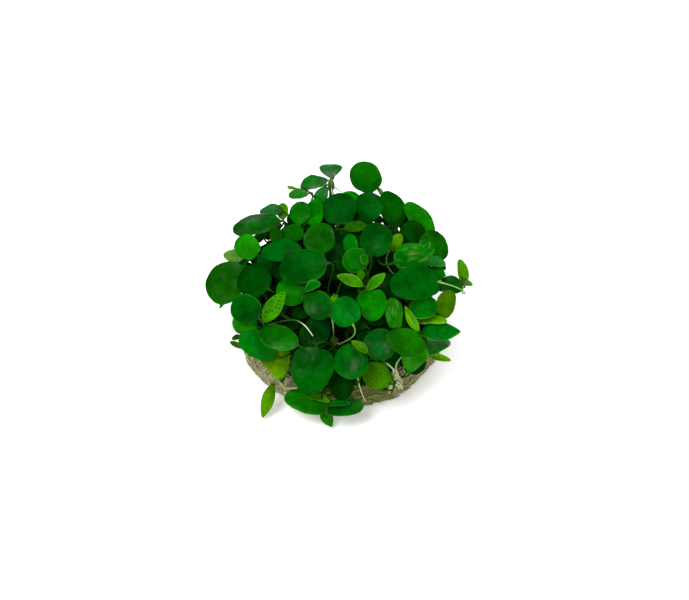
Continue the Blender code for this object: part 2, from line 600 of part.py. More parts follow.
def set_shown(obstacles):
    """The leaves of the picture: blades from the inside outward, each slid along its line of sight, then stalks."""
    rows = sorted({**GROWN, **YOUNG}.items(), key=lambda item: item[1].lift)
    found = {}
    for index, (name, leaf) in enumerate(rows):
        place = place_in_picture(leaf)
        shape = shape_of(index)
        corners = 6 if name in GROWN else 4
        toward = -sight(leaf.x, leaf.y)
        for step in range(SLIDES):
            moved = place._replace(middle=place.middle + toward * SLIDE * step)
            if clear_blade(leaf, moved, shape, corners, obstacles):
                break
        found[name] = [leaf, moved, shape, corners]
        obstacles.add(skin(blade_rings(leaf, moved, shape, corners)), name)
    for name, row in sorted(found.items(), key=lambda item: item[0] in GROWN):
        controls = clear_stalk(name, *row, obstacles, SHOWN_TRIES)
        if controls is None:
            raise RuntimeError(name + " has no clear way for its stalk")
        row.append(controls)
        obstacles.add(leaf_mesh(*row[:3], controls, row[3]), name)
    return found


def set_inner(obstacles):
    """The leaves between the others, moved about and made smaller until each has room."""
    found = {}
    for index, (name, leaf) in enumerate(INNER.items()):
        shape = shape_of(100 + index)
        pick = random.Random(name)
        for attempt in range(INNER_MOVES):
            loose = attempt / INNER_MOVES
            moved = leaf._replace(
                x=leaf.x + pick.uniform(-4, 4) * loose,
                y=leaf.y + pick.uniform(-4, 4) * loose,
                lift=leaf.lift + pick.uniform(-0.25, 0.03) * loose,
                length=leaf.length * (1 - 0.35 * loose),
                width=leaf.width * (1 - 0.35 * loose),
                tip=leaf.tip + pick.uniform(-180, 180) * loose,
            )
            place = place_in_picture(moved)
            if not clear_blade(moved, place, shape, 4, obstacles):
                continue
            controls = clear_stalk(name, moved, place, shape, 4, obstacles, HIDDEN_TRIES)
            if controls:
                found[name] = [moved, place, shape, 4, controls]
                obstacles.add(leaf_mesh(moved, place, shape, controls, 4), name)
                break
    return found


def set_hidden(obstacles):
    """The leaves of the far side and of the inside, each where there is room for its blade and its stalk."""
    found = {}
    for row, (lift, height, bearings) in enumerate(HIDDEN_ROWS):
        for bearing in bearings:
            name = f"hidden_{row + 1}_{bearing:03d}"
            pick = random.Random(name)
            for attempt in range(HIDDEN_MOVES):
                loose = 1 + 3 * attempt / HIDDEN_MOVES
                angle = math.radians(bearing + pick.uniform(-5, 5) * loose)
                rise = math.asin(min(height + pick.uniform(-0.05, 0.05) * loose, 0.98))
                out = Vector((math.cos(angle), math.sin(angle), 0))
                share = lift * (1 + pick.uniform(-0.03, 0.02) * loose)
                middle = out * DOME_RADIUS * math.cos(rise) * share
                middle.z = DOME_WAIST + DOME_RISE * math.sin(rise) * share
                lean = rise + math.radians(pick.uniform(8, 45))
                face = (out * math.cos(lean) + Vector((0, 0, math.sin(lean)))).normalized()
                swing = math.radians(pick.uniform(-50, 50))
                level = Vector((0, 0, 1)).cross(face).normalized()
                tip = math.sin(swing) * level - math.cos(swing) * face.cross(level)
                length = pick.uniform(8.6, 11.4) * (1 - attempt / 200)
                near = min(CROWNS, key=lambda crown: (CROWNS[crown] + out * 3 - middle).length)
                tone = pick.choice(("deep", "mid", "mid", "fresh", "deep"))
                leaf = Leaf(near, 0, 0, lift, length, length * pick.uniform(0.84, 0.96), 0, 0, 0, "round", tone)
                place = Place(middle, tip, face.cross(tip), face)
                shape = shape_of(200 + 20 * row + bearing // 20)
                if not clear_blade(leaf, place, shape, 3, obstacles):
                    continue
                controls = clear_stalk(name, leaf, place, shape, 3, obstacles, HIDDEN_TRIES)
                if controls:
                    found[name] = [leaf, place, shape, 3, controls]
                    obstacles.add(leaf_mesh(leaf, place, shape, controls, 3), name)
                    break
    return found


# The colour of each tone of leaf, of the crowns and of the pad, and how rough the pad and the plants are
PAD_ROUGHNESS = 0.9
PLANT_ROUGHNESS = 0.35
TONES = {
    "deep": (0.012, 0.130, 0.010),
    "mid": (0.020, 0.200, 0.012),
    "fresh": (0.030, 0.270, 0.014),
    "lime": (0.180, 0.400, 0.020),
    "young": (0.060, 0.260, 0.008),
    "speckled": (0.090, 0.290, 0.012),
    "golden": (0.150, 0.240, 0.012),
    "sprout": (0.060, 0.110, 0.014),
    "olive": (0.160, 0.270, 0.020),
    "pale": (0.180, 0.340, 0.110),
    "mottled": (0.040, 0.240, 0.030),
    "crown": (0.200, 0.330, 0.080),
    "pad": (0.520, 0.430, 0.280),
}


def material(name):
    made = bpy.data.materials.get(name)
    if made is None:
        made = bpy.data.materials.new(name)
        made.use_nodes = True
        shader = made.node_tree.nodes["Principled BSDF"]
        shader.inputs["Base Color"].default_value = (*TONES[name], 1)
        shader.inputs["Roughness"].default_value = PAD_ROUGHNESS if name == "pad" else PLANT_ROUGHNESS
    return made


def solid(name, mesh, tone):
    """An object in metres from points and triangles in millimetres."""
    points, faces = mesh
    data = bpy.data.meshes.new(name)
    data.from_pydata([p * 0.001 for p in points], [], faces)
    made = bpy.data.objects.new(name, data)
    data.materials.append(material(tone))
    bpy.context.collection.objects.link(made)
    return made


# Faces that a union has split are put together again where they turn by less than this
FLAT_ANGLE = math.radians(0.5)


def grow_together(target, parts):
    """Joins parts to target as one body, and removes them."""
    for part in parts:
        join = target.modifiers.new("join", "BOOLEAN")
        join.operation = "UNION"
        join.solver = "EXACT"
        join.material_mode = "TRANSFER"
        join.object = part
        graph = bpy.context.evaluated_depsgraph_get()
        joined = bpy.data.meshes.new_from_object(target.evaluated_get(graph))
        target.modifiers.clear()
        target.data = joined
        bpy.data.objects.remove(part)
    clean = bmesh.new()
    clean.from_mesh(target.data)
    bmesh.ops.dissolve_limit(clean, angle_limit=FLAT_ANGLE, verts=clean.verts, edges=clean.edges)
    bmesh.ops.triangulate(clean, faces=clean.faces)
    clean.to_mesh(target.data)
    clean.free()


# Pad, crowns and roots first, since every leaf keeps clear of them
room = Obstacles()
pad = pad_mesh()
room.add(pad, "pad")
for crown_name in CROWNS:
    room.add(crown_mesh(crown_name), crown_name)
for root_name in ROOTS:
    room.add(root_mesh(root_name), root_name)

# Leaves that the picture shows, then those that it doesn't
leaves = set_shown(room)
leaves.update(set_inner(room))
leaves.update(set_hidden(room))

# The pieces themselves
solid("root_pad", pad, "pad")
for leaf_name in GROWN:
    row, place, shape, corners, controls = leaves[leaf_name]
    solid("leaf_" + leaf_name, leaf_mesh(row, place, shape, controls, corners), row.tone)
for crown_name in CROWNS:
    body = solid("crown_" + crown_name, crown_mesh(crown_name), "crown")
    parts = []
    for root_name, (owner, _) in ROOTS.items():
        if owner == crown_name:
            parts.append(solid("part_" + root_name, root_mesh(root_name), "crown"))
    for leaf_name, (row, place, shape, corners, controls) in leaves.items():
        if row.crown == crown_name and leaf_name not in GROWN:
            whole = leaf_mesh(row, place, shape, controls, corners)
            parts.append(solid("part_" + leaf_name, whole, row.tone))
    grow_together(body, parts)
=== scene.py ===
import math
import random
from typing import NamedTuple

import bpy
from mathutils import Matrix, Vector, noise
from mathutils.bvhtree import BVHTree


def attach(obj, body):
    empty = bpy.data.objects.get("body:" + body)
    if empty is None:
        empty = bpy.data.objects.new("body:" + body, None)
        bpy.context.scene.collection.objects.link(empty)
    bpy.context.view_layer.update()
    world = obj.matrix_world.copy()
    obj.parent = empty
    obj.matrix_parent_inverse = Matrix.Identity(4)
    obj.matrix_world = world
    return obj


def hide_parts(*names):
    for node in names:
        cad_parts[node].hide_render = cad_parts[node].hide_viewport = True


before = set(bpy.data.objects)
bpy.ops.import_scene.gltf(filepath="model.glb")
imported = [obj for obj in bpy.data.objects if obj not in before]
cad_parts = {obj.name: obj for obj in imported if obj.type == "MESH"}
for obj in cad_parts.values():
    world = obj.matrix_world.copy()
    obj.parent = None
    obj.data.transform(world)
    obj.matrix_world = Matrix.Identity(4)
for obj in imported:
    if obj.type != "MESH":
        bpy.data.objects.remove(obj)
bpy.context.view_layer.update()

# The camera. It stands about half a metre from the clump and 41.5 degrees above the level, and one dot of
# the picture covers 0.28 mm there. Sizes and places are in millimetres throughout, and each mesh is made in
# metres at its end.
MM = 0.001
EYE_DISTANCE = 500.0
EYE_ELEVATION = math.radians(41.5)
PICTURE_SCALE = 0.28
PICTURE_WIDTH = 689
PICTURE_CENTRE = (344.5, 300.0)
PICTURE_ORIGIN = (340.5, 343.0)
SENSOR_WIDTH = 36.0

RIGHT = Vector((1, 0, 0))
UPWARD = Vector((0, math.sin(EYE_ELEVATION), math.cos(EYE_ELEVATION)))
TOWARD = Vector((0, -math.cos(EYE_ELEVATION), math.sin(EYE_ELEVATION)))
AIM = PICTURE_SCALE * (
    (PICTURE_CENTRE[0] - PICTURE_ORIGIN[0]) * RIGHT + (PICTURE_ORIGIN[1] - PICTURE_CENTRE[1]) * UPWARD
)
EYE = AIM + EYE_DISTANCE * TOWARD

camera_data = bpy.data.cameras.new("camera")
camera_data.sensor_width = SENSOR_WIDTH
camera_data.lens = SENSOR_WIDTH * EYE_DISTANCE / (PICTURE_WIDTH * PICTURE_SCALE)
camera = bpy.data.objects.new("camera", camera_data)
camera.location = EYE * MM
camera.rotation_euler = (math.pi / 2 - EYE_ELEVATION, 0, 0)
bpy.context.collection.objects.link(camera)
bpy.context.scene.camera = camera

# The root pad. The plants grew in a cup, and their roots filled its bottom and felted there into one pale,
# springy puck with a flat underside and a rounded lower edge. In the middle it rises to a low mound of
# roots and old stems.
PAD_RADIUS = 27.8
PAD_FOOT_RADIUS = 24.2
PAD_HEIGHT = 9.5
PAD_SIDES = 20
MOUND_RADIUS = 19.0
MOUND_RISE = 16.0
PAD_PROFILE = (
    (PAD_FOOT_RADIUS, 0.0, 0.0),
    (PAD_FOOT_RADIUS + 2.2, 0.8, 0.5),
    (PAD_RADIUS, 2.9, 1.0),
    (PAD_RADIUS - 0.2, 6.0, 1.0),
    (PAD_RADIUS - 1.4, PAD_HEIGHT - 1.2, 0.9),
    (PAD_RADIUS - 4.0, None, 0.6),
    (MOUND_RADIUS, None, 0.0),
    (MOUND_RADIUS * 0.72, None, 0.0),
    (MOUND_RADIUS * 0.42, None, 0.0),
    (MOUND_RADIUS * 0.14, None, 0.0),
)
FELT_SIDES = 260
FELT_STEPS = 9
FELT_LUMP = 0.45
FELT_NAP = 0.30
FELT_SEED = 4
# The felt's colours, from the hollows between its strands, dark with painted shade, to the strands themselves
FELT_COLOURS = ((0.36, (0.09, 0.08, 0.03)), (0.50, (0.27, 0.26, 0.12)), (0.66, (0.46, 0.46, 0.25)))
# Where the pad turns from beige to olive green, and from that to brown, in metres to the right
OLIVE_TURN = (-0.016, -0.006)
BROWN_TURN = (0.010, 0.019)
# From where to where up the pad the shade under the leaves begins, in metres
SHADED_HEIGHT = (0.0082, 0.0102)


def pad_top(x, y):
    """The height of the pad's uneven top, which rises to a mound of roots in the middle."""
    angle = math.atan2(y, x)
    radius = math.hypot(x, y)
    mound = MOUND_RISE * math.cos(math.pi / 2 * min(radius / MOUND_RADIUS, 1.0)) ** 1.3
    lump = 0.4 * math.sin(5 * angle + 1.0) + 0.3 * math.sin(2 * angle + 0.4 * radius)
    return PAD_HEIGHT + mound + lump * min(radius / 8, 1.0)


def pad_rings(profile, sides):
    """Rings round the pad by radius, height and unevenness; a height of None lies on the pad's top."""
    rings = []
    for radius, height, uneven in profile:
        ring = []
        for k in range(sides):
            angle = 2 * math.pi * k / sides
            bump = 0.55 * math.sin(3 * angle + 0.8) + 0.35 * math.sin(7 * angle + 2.1)
            x = (radius + uneven * bump) * math.cos(angle)
            y = (radius + uneven * bump) * math.sin(angle)
            ring.append(Vector((x, y, pad_top(x, y) if height is None else height)))
        rings.append(ring)
    return rings


def skin(rings):
    """A closed mesh over rings, as points and triangles that face outward."""
    points = [p for ring in rings for p in ring]
    corners = len(rings[0])
    faces = []
    for i in range(len(rings) - 1):
        for k in range(corners):
            a = i * corners + k
            b = i * corners + (k + 1) % corners
            faces.append((a, b, b + corners))
            faces.append((a, b + corners, a + corners))
    last = (len(rings) - 1) * corners
    for k in range(1, corners - 1):
        faces.append((0, k + 1, k))
        faces.append((last, last + k, last + k + 1))
    volume = sum(points[a].dot(points[b].cross(points[c])) for a, b, c in faces)
    if volume < 0:
        faces = [(a, c, b) for a, b, c in faces]
    return points, faces


def mesh_of(name, points, faces):
    """A smooth mesh in metres from points in millimetres."""
    made = bpy.data.meshes.new(name)
    made.from_pydata([p * MM for p in points], [], faces)
    made.shade_smooth()
    return made


def piece(name, mesh, slot, *nodes):
    """Puts a finished mesh into the clump, in the place of the nodes that it stands for."""
    made = bpy.data.objects.new(name, mesh)
    bpy.context.collection.objects.link(made)
    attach(made, "root")
    if nodes:
        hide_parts(*nodes)
    return made


def feed(tree, socket, value):
    """Gives an input another node's output, or a plain value; a colour is opaque."""
    if isinstance(value, bpy.types.Node):
        value = value.outputs[0]
    if isinstance(value, bpy.types.NodeSocket):
        tree.links.new(value, socket)
    elif socket.type == "RGBA":
        socket.default_value = (*value, 1.0)
    else:
        socket.default_value = value


def node(tree, kind, inputs=None, **settings):
    """A node of a tree, with its settings, and with what each named input is given."""
    made = tree.nodes.new(kind)
    for key, value in settings.items():
        setattr(made, key, value)
    for key, value in (inputs or {}).items():
        feed(tree, made.inputs[key], value)
    return made


def ramp(tree, factor, *stops):
    """A colour ramp over pairs of place and colour."""
    made = node(tree, "ShaderNodeValToRGB", {"Fac": factor})
    band = made.color_ramp
    while len(band.elements) < len(stops):
        band.elements.new(1.0)
    for element, (place, shade) in zip(band.elements, stops):
        element.position = place
        element.color = (*shade, 1.0)
    return made


def blend_colours(tree, factor, first, second):
    """One colour turned into another as a factor goes from 0 to 1."""
    inputs = {0: factor, 6: first, 7: second}
    return node(tree, "ShaderNodeMix", inputs, data_type="RGBA", clamp_factor=True).outputs[2]


def number(tree, operation, *values, clamp=False):
    """The result of one step of arithmetic."""
    return node(tree, "ShaderNodeMath", dict(enumerate(values)), operation=operation, use_clamp=clamp)


def between(tree, value, low, high, start=0.0, end=1.0):
    """A value's way from low to high, made smooth, as a number from start to end."""
    inputs = dict(enumerate((value, low, high, start, end)))
    return node(tree, "ShaderNodeMapRange", inputs, interpolation_type="SMOOTHSTEP")


def mottle(tree, place, scale, detail, distortion=0.0):
    """Cloudy noise from 0 to 1, so many clouds to the metre."""
    inputs = {"Vector": place, "Scale": scale, "Detail": detail, "Distortion": distortion}
    return node(tree, "ShaderNodeTexNoise", inputs)


def own_place(tree):
    """Where a point of the piece lies, in metres."""
    return node(tree, "ShaderNodeTexCoord").outputs["Object"]


def stretched(tree, place, *scale):
    """A place drawn out along its axes."""
    return node(tree, "ShaderNodeMapping", {"Vector": place, "Scale": scale})


def axes_of(tree, place):
    """A place's distances along X, Y and Z."""
    return node(tree, "ShaderNodeSeparateXYZ", {"Vector": place}).outputs


def dress(tree, shader, shown, rough, gloss, grain=None, strength=0.0, depth=0.0):
    """Gives a finish its colour, its roughness, its gloss and, where it has one, the relief of its grain."""
    feed(tree, shader.inputs["Base Color"], shown)
    feed(tree, shader.inputs["Roughness"], rough)
    shader.inputs["Specular IOR Level"].default_value = gloss
    if grain:
        relief = node(tree, "ShaderNodeBump", {"Strength": strength, "Distance": depth, "Height": grain})
        feed(tree, shader.inputs["Normal"], relief)


def new_material(name):
    """A material with its tree and its shader."""
    made = bpy.data.materials.new(name)
    made.use_nodes = True
    tree = made.node_tree
    return made, tree, tree.nodes["Principled BSDF"]


def felt_material():
    """Pale beige felt, painted shade in its hollows and near black under the leaves, olive and brown to the
    right.
    """
    made, tree, shader = new_material("root felt")
    place = own_place(tree)
    lumps = mottle(tree, place, 420.0, 5.0)
    strands = mottle(tree, stretched(tree, place, 1.0, 1.0, 0.22), 2600.0, 4.0, 0.8)
    # The strands' colours, with painted shade in the hollows between them
    pale = ramp(tree, strands, *FELT_COLOURS)
    shown = blend_colours(tree, between(tree, lumps, 0.45, 0.62), pale, (0.15, 0.13, 0.045))
    at = axes_of(tree, place)
    for factor, dark, light in (
        # Toward the right the pad turns olive green, then brown, and darker
        (between(tree, at["X"], *OLIVE_TURN), (0.020, 0.040, 0.004), (0.170, 0.190, 0.055)),
        (between(tree, at["X"], *BROWN_TURN), (0.060, 0.052, 0.018), (0.300, 0.285, 0.140)),
        # The top of the pad under the leaves turns near black: painted shade
        (between(tree, at["Z"], *SHADED_HEIGHT), (0.004, 0.008, 0.001), (0.020, 0.024, 0.004)),
    ):
        shown = blend_colours(tree, factor, shown, blend_colours(tree, strands, dark, light))
    dress(tree, shader, shown, 0.95, 0.15, strands, 0.8, 0.0003)
    return made


def felt_mesh():
    """The pad's own surface, with lumps and a short nap; its foot stays flat."""
    noise.seed_set(FELT_SEED)
    fine = []
    for before, after in zip(PAD_PROFILE, PAD_PROFILE[1:]):
        for k in range(FELT_STEPS):
            t = k / FELT_STEPS
            height = before[1]
            if height is not None:
                height += ((PAD_HEIGHT if after[1] is None else after[1]) - height) * t
            radius = before[0] + (after[0] - before[0]) * t
            fine.append((radius, height, before[2] + (after[2] - before[2]) * t))
    rings = pad_rings(fine + [PAD_PROFILE[-1]], FELT_SIDES)
    for i, ring in enumerate(rings):
        for k, point in enumerate(ring):
            moved = noise.noise_vector(point * 0.4) * FELT_LUMP + noise.noise_vector(point * 1.7) * FELT_NAP
            ring[k] = point + moved * min(i / 4, 1.0)
            ring[k].z = max(ring[k].z, 0.0 if i == 0 else 0.05 * min(i, 3))
    return mesh_of("felt", *skin(rings))


felt = felt_mesh()
felt.materials.append(felt_material())
piece("pad_felt", felt, "root_pad", "root_pad")

# The fibres of the felt. Fine roots lie over each other all over the pad's side and rim, mostly round it,
# as they grew along the wall of the cup, and thicker ones run between them. They are strewn over the felt's
# own surface.
FIBRE_LENGTH = 0.0036
FIBRE_RADIUS = 0.00009
CORD_LENGTH = 0.0110
CORD_RADIUS = 0.00019
# How far above the ground the lowest of them stay
FIBRE_CLEARANCE = 0.0003


def open_sockets(tree, side, kind, *names):
    """Gives a tree named inputs or outputs of one kind."""
    for name in names:
        tree.interface.new_socket(name, in_out=side, socket_type="NodeSocket" + kind)


def vectors(tree, operation, first, second):
    """The result of one step of arithmetic on two vectors, or on a vector and a number to scale it by."""
    other = "Scale" if operation == "SCALE" else 1
    return node(tree, "ShaderNodeVectorMath", {0: first, other: second}, operation=operation)


def chance(tree, low, high, seed):
    """A number between two others, by chance, for each strand."""
    inputs = {2: low, 3: high, "Seed": seed}
    return node(tree, "FunctionNodeRandomValue", inputs, data_type="FLOAT").outputs[1]


def strand_tree():
    """Strews curved, tapering strands over a surface, lying round it or standing off it."""
    tree = bpy.data.node_groups.new("strands", "GeometryNodeTree")
    open_sockets(tree, "INPUT", "Geometry", "Geometry")
    open_sockets(tree, "INPUT", "Float", "Density", "Length", "Radius", "Lift", "Curl", "Spread", "Cling")
    open_sockets(tree, "INPUT", "Float", "Lowest", "Highest")
    open_sockets(tree, "INPUT", "Int", "Steps", "Seed")
    open_sockets(tree, "INPUT", "Material", "Material")
    open_sockets(tree, "OUTPUT", "Geometry", "Geometry")
    given = node(tree, "NodeGroupInput").outputs
    seed = given["Seed"]
    # They start where the surface is between the lowest and the highest place, each with its own shade
    height = axes_of(tree, node(tree, "GeometryNodeInputPosition"))["Z"]
    above = node(tree, "FunctionNodeCompare", {"A": height, "B": given["Lowest"]}, operation="GREATER_THAN")
    below = node(tree, "FunctionNodeCompare", {"A": height, "B": given["Highest"]}, operation="LESS_THAN")
    strewn = node(
        tree, "GeometryNodeDistributePointsOnFaces",
        {"Mesh": given["Geometry"], "Density": given["Density"], "Seed": seed,
         "Selection": node(tree, "FunctionNodeBooleanMath", {0: above, 1: below}, operation="AND")},
    ).outputs
    marked = node(
        tree, "GeometryNodeStoreNamedAttribute",
        {"Geometry": strewn["Points"], "Name": "shade", "Value": chance(tree, 0.0, 1.0, seed)},
        data_type="FLOAT", domain="POINT",
    )
    # Each lies level along the surface, turned by chance within the spread
    level = vectors(tree, "CROSS_PRODUCT", (0, 0, 1), strewn["Normal"])
    facing = node(
        tree, "FunctionNodeAxesToRotation", {"Primary Axis": strewn["Normal"], "Secondary Axis": level},
        primary_axis="Z", secondary_axis="X",
    )
    angle = chance(tree, number(tree, "MULTIPLY", given["Spread"], -1.0), given["Spread"], seed)
    turn = node(tree, "FunctionNodeAxisAngleToRotation", {"Axis": (0, 0, 1), "Angle": angle})
    turned = node(
        tree, "FunctionNodeRotateRotation", {"Rotation": facing, "Rotate By": turn}, rotation_space="LOCAL"
    )
    # The strand itself, one unit long, which lifts off toward its end
    half = number(tree, "MULTIPLY", given["Lift"], 0.7)
    middle = node(tree, "ShaderNodeCombineXYZ", {"X": 0.5, "Y": 0.16, "Z": half})
    end = node(tree, "ShaderNodeCombineXYZ", {"X": 1.0, "Y": -0.05, "Z": given["Lift"]})
    strand = node(
        tree, "GeometryNodeCurveQuadraticBezier",
        {"Resolution": given["Steps"], "Start": (0, 0, 0), "Middle": middle, "End": end},
    )
    size = number(tree, "MULTIPLY", chance(tree, 0.45, 1.1, seed), given["Length"])
    placed = node(
        tree, "GeometryNodeInstanceOnPoints",
        {"Points": marked, "Instance": strand, "Rotation": turned, "Scale": size},
    )
    loose = node(tree, "GeometryNodeRealizeInstances", {"Geometry": placed})
    # It sways toward its end, is drawn back to the surface, and stays off the ground
    stir = node(tree, "ShaderNodeTexNoise", {"Scale": 380.0, "Detail": 1.0}).outputs["Color"]
    along = node(tree, "GeometryNodeSplineParameter").outputs["Factor"]
    sway = number(tree, "MULTIPLY", along, given["Curl"])
    offset = vectors(tree, "SCALE", vectors(tree, "SUBTRACT", stir, (0.5, 0.5, 0.5)), sway)
    bent = node(tree, "GeometryNodeSetPosition", {"Geometry": loose, "Offset": offset})
    nearest = node(tree, "GeometryNodeProximity", {0: given["Geometry"]}, target_element="FACES")
    drop = vectors(tree, "SUBTRACT", nearest.outputs["Position"], node(tree, "GeometryNodeInputPosition"))
    pull = vectors(tree, "SCALE", drop, given["Cling"])
    laid = node(tree, "GeometryNodeSetPosition", {"Geometry": bent, "Offset": pull})
    at = axes_of(tree, node(tree, "GeometryNodeInputPosition"))
    raised = number(tree, "MAXIMUM", at["Z"], FIBRE_CLEARANCE)
    lowest = node(tree, "ShaderNodeCombineXYZ", {"X": at["X"], "Y": at["Y"], "Z": raised})
    clear = node(tree, "GeometryNodeSetPosition", {"Geometry": laid, "Position": lowest})
    # It thins toward its end and becomes a solid with three sides
    taper = number(tree, "MULTIPLY_ADD", along, -0.75, 1.0)
    thinned = node(tree, "GeometryNodeSetCurveRadius", {"Curve": clear, "Radius": taper})
    ring = node(tree, "GeometryNodeCurvePrimitiveCircle", {"Resolution": 3, "Radius": given["Radius"]})
    closed = {"Curve": thinned, "Profile Curve": ring, "Fill Caps": True}
    solid = node(tree, "GeometryNodeCurveToMesh", closed)
    real = node(tree, "GeometryNodeRealizeInstances", {"Geometry": solid})
    dressed = node(tree, "GeometryNodeSetMaterial", {"Geometry": real, "Material": given["Material"]})
    node(tree, "NodeGroupOutput", {"Geometry": dressed})
    return tree


def grown_from(tree, ground, name, **values):
    """The mesh that a geometry tree makes of another mesh, with the tree's inputs given by name."""
    holder = bpy.data.objects.new(name, ground)
    bpy.context.collection.objects.link(holder)
    modifier = holder.modifiers.new("growth", "NODES")
    modifier.node_group = tree
    for socket in tree.interface.items_tree:
        if socket.in_out == "INPUT" and socket.name in values:
            modifier[socket.identifier] = values[socket.name]
    graph = bpy.context.evaluated_depsgraph_get()
    made = bpy.data.meshes.new_from_object(holder.evaluated_get(graph))
    made.name = name
    bpy.data.objects.remove(holder)
    made.shade_smooth()
    return made


def own_value(tree, title):
    """What the mesh holds under a title for each of its points."""
    return node(tree, "ShaderNodeAttribute", attribute_name=title).outputs["Fac"]


def fibre_material(name, dark, light, rough, *side_colours):
    """Thin roots or stems, each of its own shade, mottled, and turning olive, then brown and darker, to the
    right.
    """
    made, tree, shader = new_material(name)
    place = own_place(tree)
    spots = mottle(tree, place, 900.0, 3.0)
    speckle = number(tree, "MULTIPLY", spots, 0.35)
    mixed = number(tree, "MULTIPLY_ADD", own_value(tree, "shade"), 0.75, speckle, clamp=True)
    shown = blend_colours(tree, mixed, dark, light)
    for stretch, side_colour in zip((OLIVE_TURN, BROWN_TURN), side_colours):
        factor = between(tree, axes_of(tree, place)["X"], *stretch)
        shown = blend_colours(tree, factor, shown, blend_colours(tree, mixed, dark, side_colour))
    dress(tree, shader, shown, between(tree, spots, 0.3, 0.7, rough, rough + 0.15), 0.15)
    return made


strands = strand_tree()
pale_fibre = fibre_material(
    "pale fibre", (0.10, 0.10, 0.03), (0.52, 0.52, 0.30), 0.7, (0.15, 0.18, 0.04), (0.30, 0.29, 0.14)
)
fibres = grown_from(
    strands, felt, "pad_fibres", Density=800000.0, Length=FIBRE_LENGTH, Radius=FIBRE_RADIUS, Lift=0.0,
    Curl=0.0016, Spread=1.3, Cling=0.7, Lowest=0.0006, Highest=0.0095, Steps=7, Seed=3, Material=pale_fibre,
)
piece("pad_fibres", fibres, "root_pad")
cords = grown_from(
    strands, felt, "pad_cords", Density=170000.0, Length=CORD_LENGTH, Radius=CORD_RADIUS, Lift=0.0,
    Curl=0.0040, Spread=0.55, Cling=0.8, Lowest=0.0008, Highest=0.0092, Steps=16, Seed=11,
    Material=pale_fibre,
)
piece("pad_cords", cords, "root_pad")

# The thicket. Inside the clump old stems and roots stand close together on the pad's mound, dense and deep in
# shade. Their near-black green and brown is painted shade, which shows between the leaves.
THICKET_LENGTH = 0.0050
THICKET_RADIUS = 0.00022

shaded_stem = fibre_material("shaded stem", (0.002, 0.008, 0.001), (0.022, 0.030, 0.005), 0.6)
thicket = grown_from(
    strands, felt, "thicket_stems", Density=900000.0, Length=THICKET_LENGTH, Radius=THICKET_RADIUS, Lift=0.55,
    Curl=0.0030, Spread=math.pi, Cling=0.0, Lowest=0.0098, Highest=0.03, Steps=7, Seed=7, Material=shaded_stem,
)
piece("thicket_stems", thicket, "root_pad")

# The crowns. Each plant has a short thick crown with a stem down to the pad, wrapped in the thin scales
# that covered its leaves in the bud. Two more plants stand on thin runners, one above the clump and one
# beside it.
DOME_RADIUS = 34.5
DOME_RISE = 29.5
DOME_WAIST = 12.0
# From where to where a crown turns pale in the light, in metres above the ground
SUNLIT_HEIGHT = (0.034, 0.040)
CROWN_RADIUS = 1.3
CROWN_HEIGHT = 4.5
STEM_RADIUS = 0.75
STEM_INSET = 6.0
STEM_CLEARANCE = 0.5
GAP = 0.32
SLIM_CROWN = 0.70
STEM_STEPS = 22
CROWN_STEPS = 12
CROWN_SIDES = 20
CROWN_RIBS = 5
# Dark and light of a crown's green, of its brown scales, and of its green out in the light
CROWN_COLOURS = (
    ((0.004, 0.025, 0.001), (0.035, 0.080, 0.006)), ((0.014, 0.012, 0.002), (0.070, 0.045, 0.010)),
    ((0.020, 0.060, 0.006), (0.095, 0.145, 0.032)),
)


def sight(x, y):
    """The direction from the eye through a point of the picture."""
    across = (x - PICTURE_CENTRE[0]) * PICTURE_SCALE
    down = (y - PICTURE_CENTRE[1]) * PICTURE_SCALE
    return (across * RIGHT - down * UPWARD - EYE_DISTANCE * TOWARD).normalized()


def on_dome(x, y, lift):
    """Where the line of sight meets the dome of the clump, scaled by lift about its middle."""
    ray = sight(x, y)
    radii = (DOME_RADIUS * lift, DOME_RADIUS * lift, DOME_RISE * lift)
    start = Vector([p / r for p, r in zip(EYE - Vector((0, 0, DOME_WAIST)), radii)])
    step = Vector([p / r for p, r in zip(ray, radii)])
    half = start.dot(step)
    inside = half * half - step.dot(step) * (start.dot(start) - 1)
    return EYE + ray * ((-half - math.sqrt(max(inside, 0.0))) / step.dot(step))


# Crowns by their place in the picture and their lift, or by their place in millimetres, with the share of
# the stem that runs sideways before it turns down
CROWNS = {
    "low_front": on_dome(333, 387, 0.885),
    "front_left": on_dome(292, 356, 0.70),
    "hollow": on_dome(334, 341, 0.74),
    "front": on_dome(356, 362, 0.74),
    "front_right": on_dome(421, 334, 0.88),
    "rim": on_dome(397, 377, 0.90),
    "left": on_dome(258, 326, 0.74),
    "far_left": on_dome(262, 285, 0.70),
    "centre": on_dome(334, 300, 0.76),
    "vee": on_dome(364, 291, 0.90),
    "right": on_dome(415, 292, 0.68),
    "upper_left": on_dome(292, 238, 0.66),
    "upper": on_dome(344, 226, 0.68),
    "upper_right": on_dome(392, 230, 0.68),
    "crest": on_dome(331, 184, 1.16),
    "runner": on_dome(462, 284, 1.02),
    "back_left": Vector((-20, 17, 16)),
    "back": Vector((1, 26, 19)),
    "back_right": Vector((21, 15, 16)),
}
RUNS = {"crest": 0.2, "runner": 0.9}
# A crown lower than this stands nearly over its stem's foot. The foot's distance from the pad's middle, as
# a share of the crown's, for such a crown and for a higher one
LOW_CROWN = 15.0
LOW_STAND = 0.95
HIGH_STAND = 0.8


def curve_points(points, steps):
    """Points along a Bezier curve of four control points, both ends included."""
    a, b, c, d = points
    found = []
    for i in range(steps + 1):
        t = i / steps
        s = 1 - t
        found.append(s ** 3 * a + 3 * s * s * t * b + 3 * s * t * t * c + t ** 3 * d)
    return found


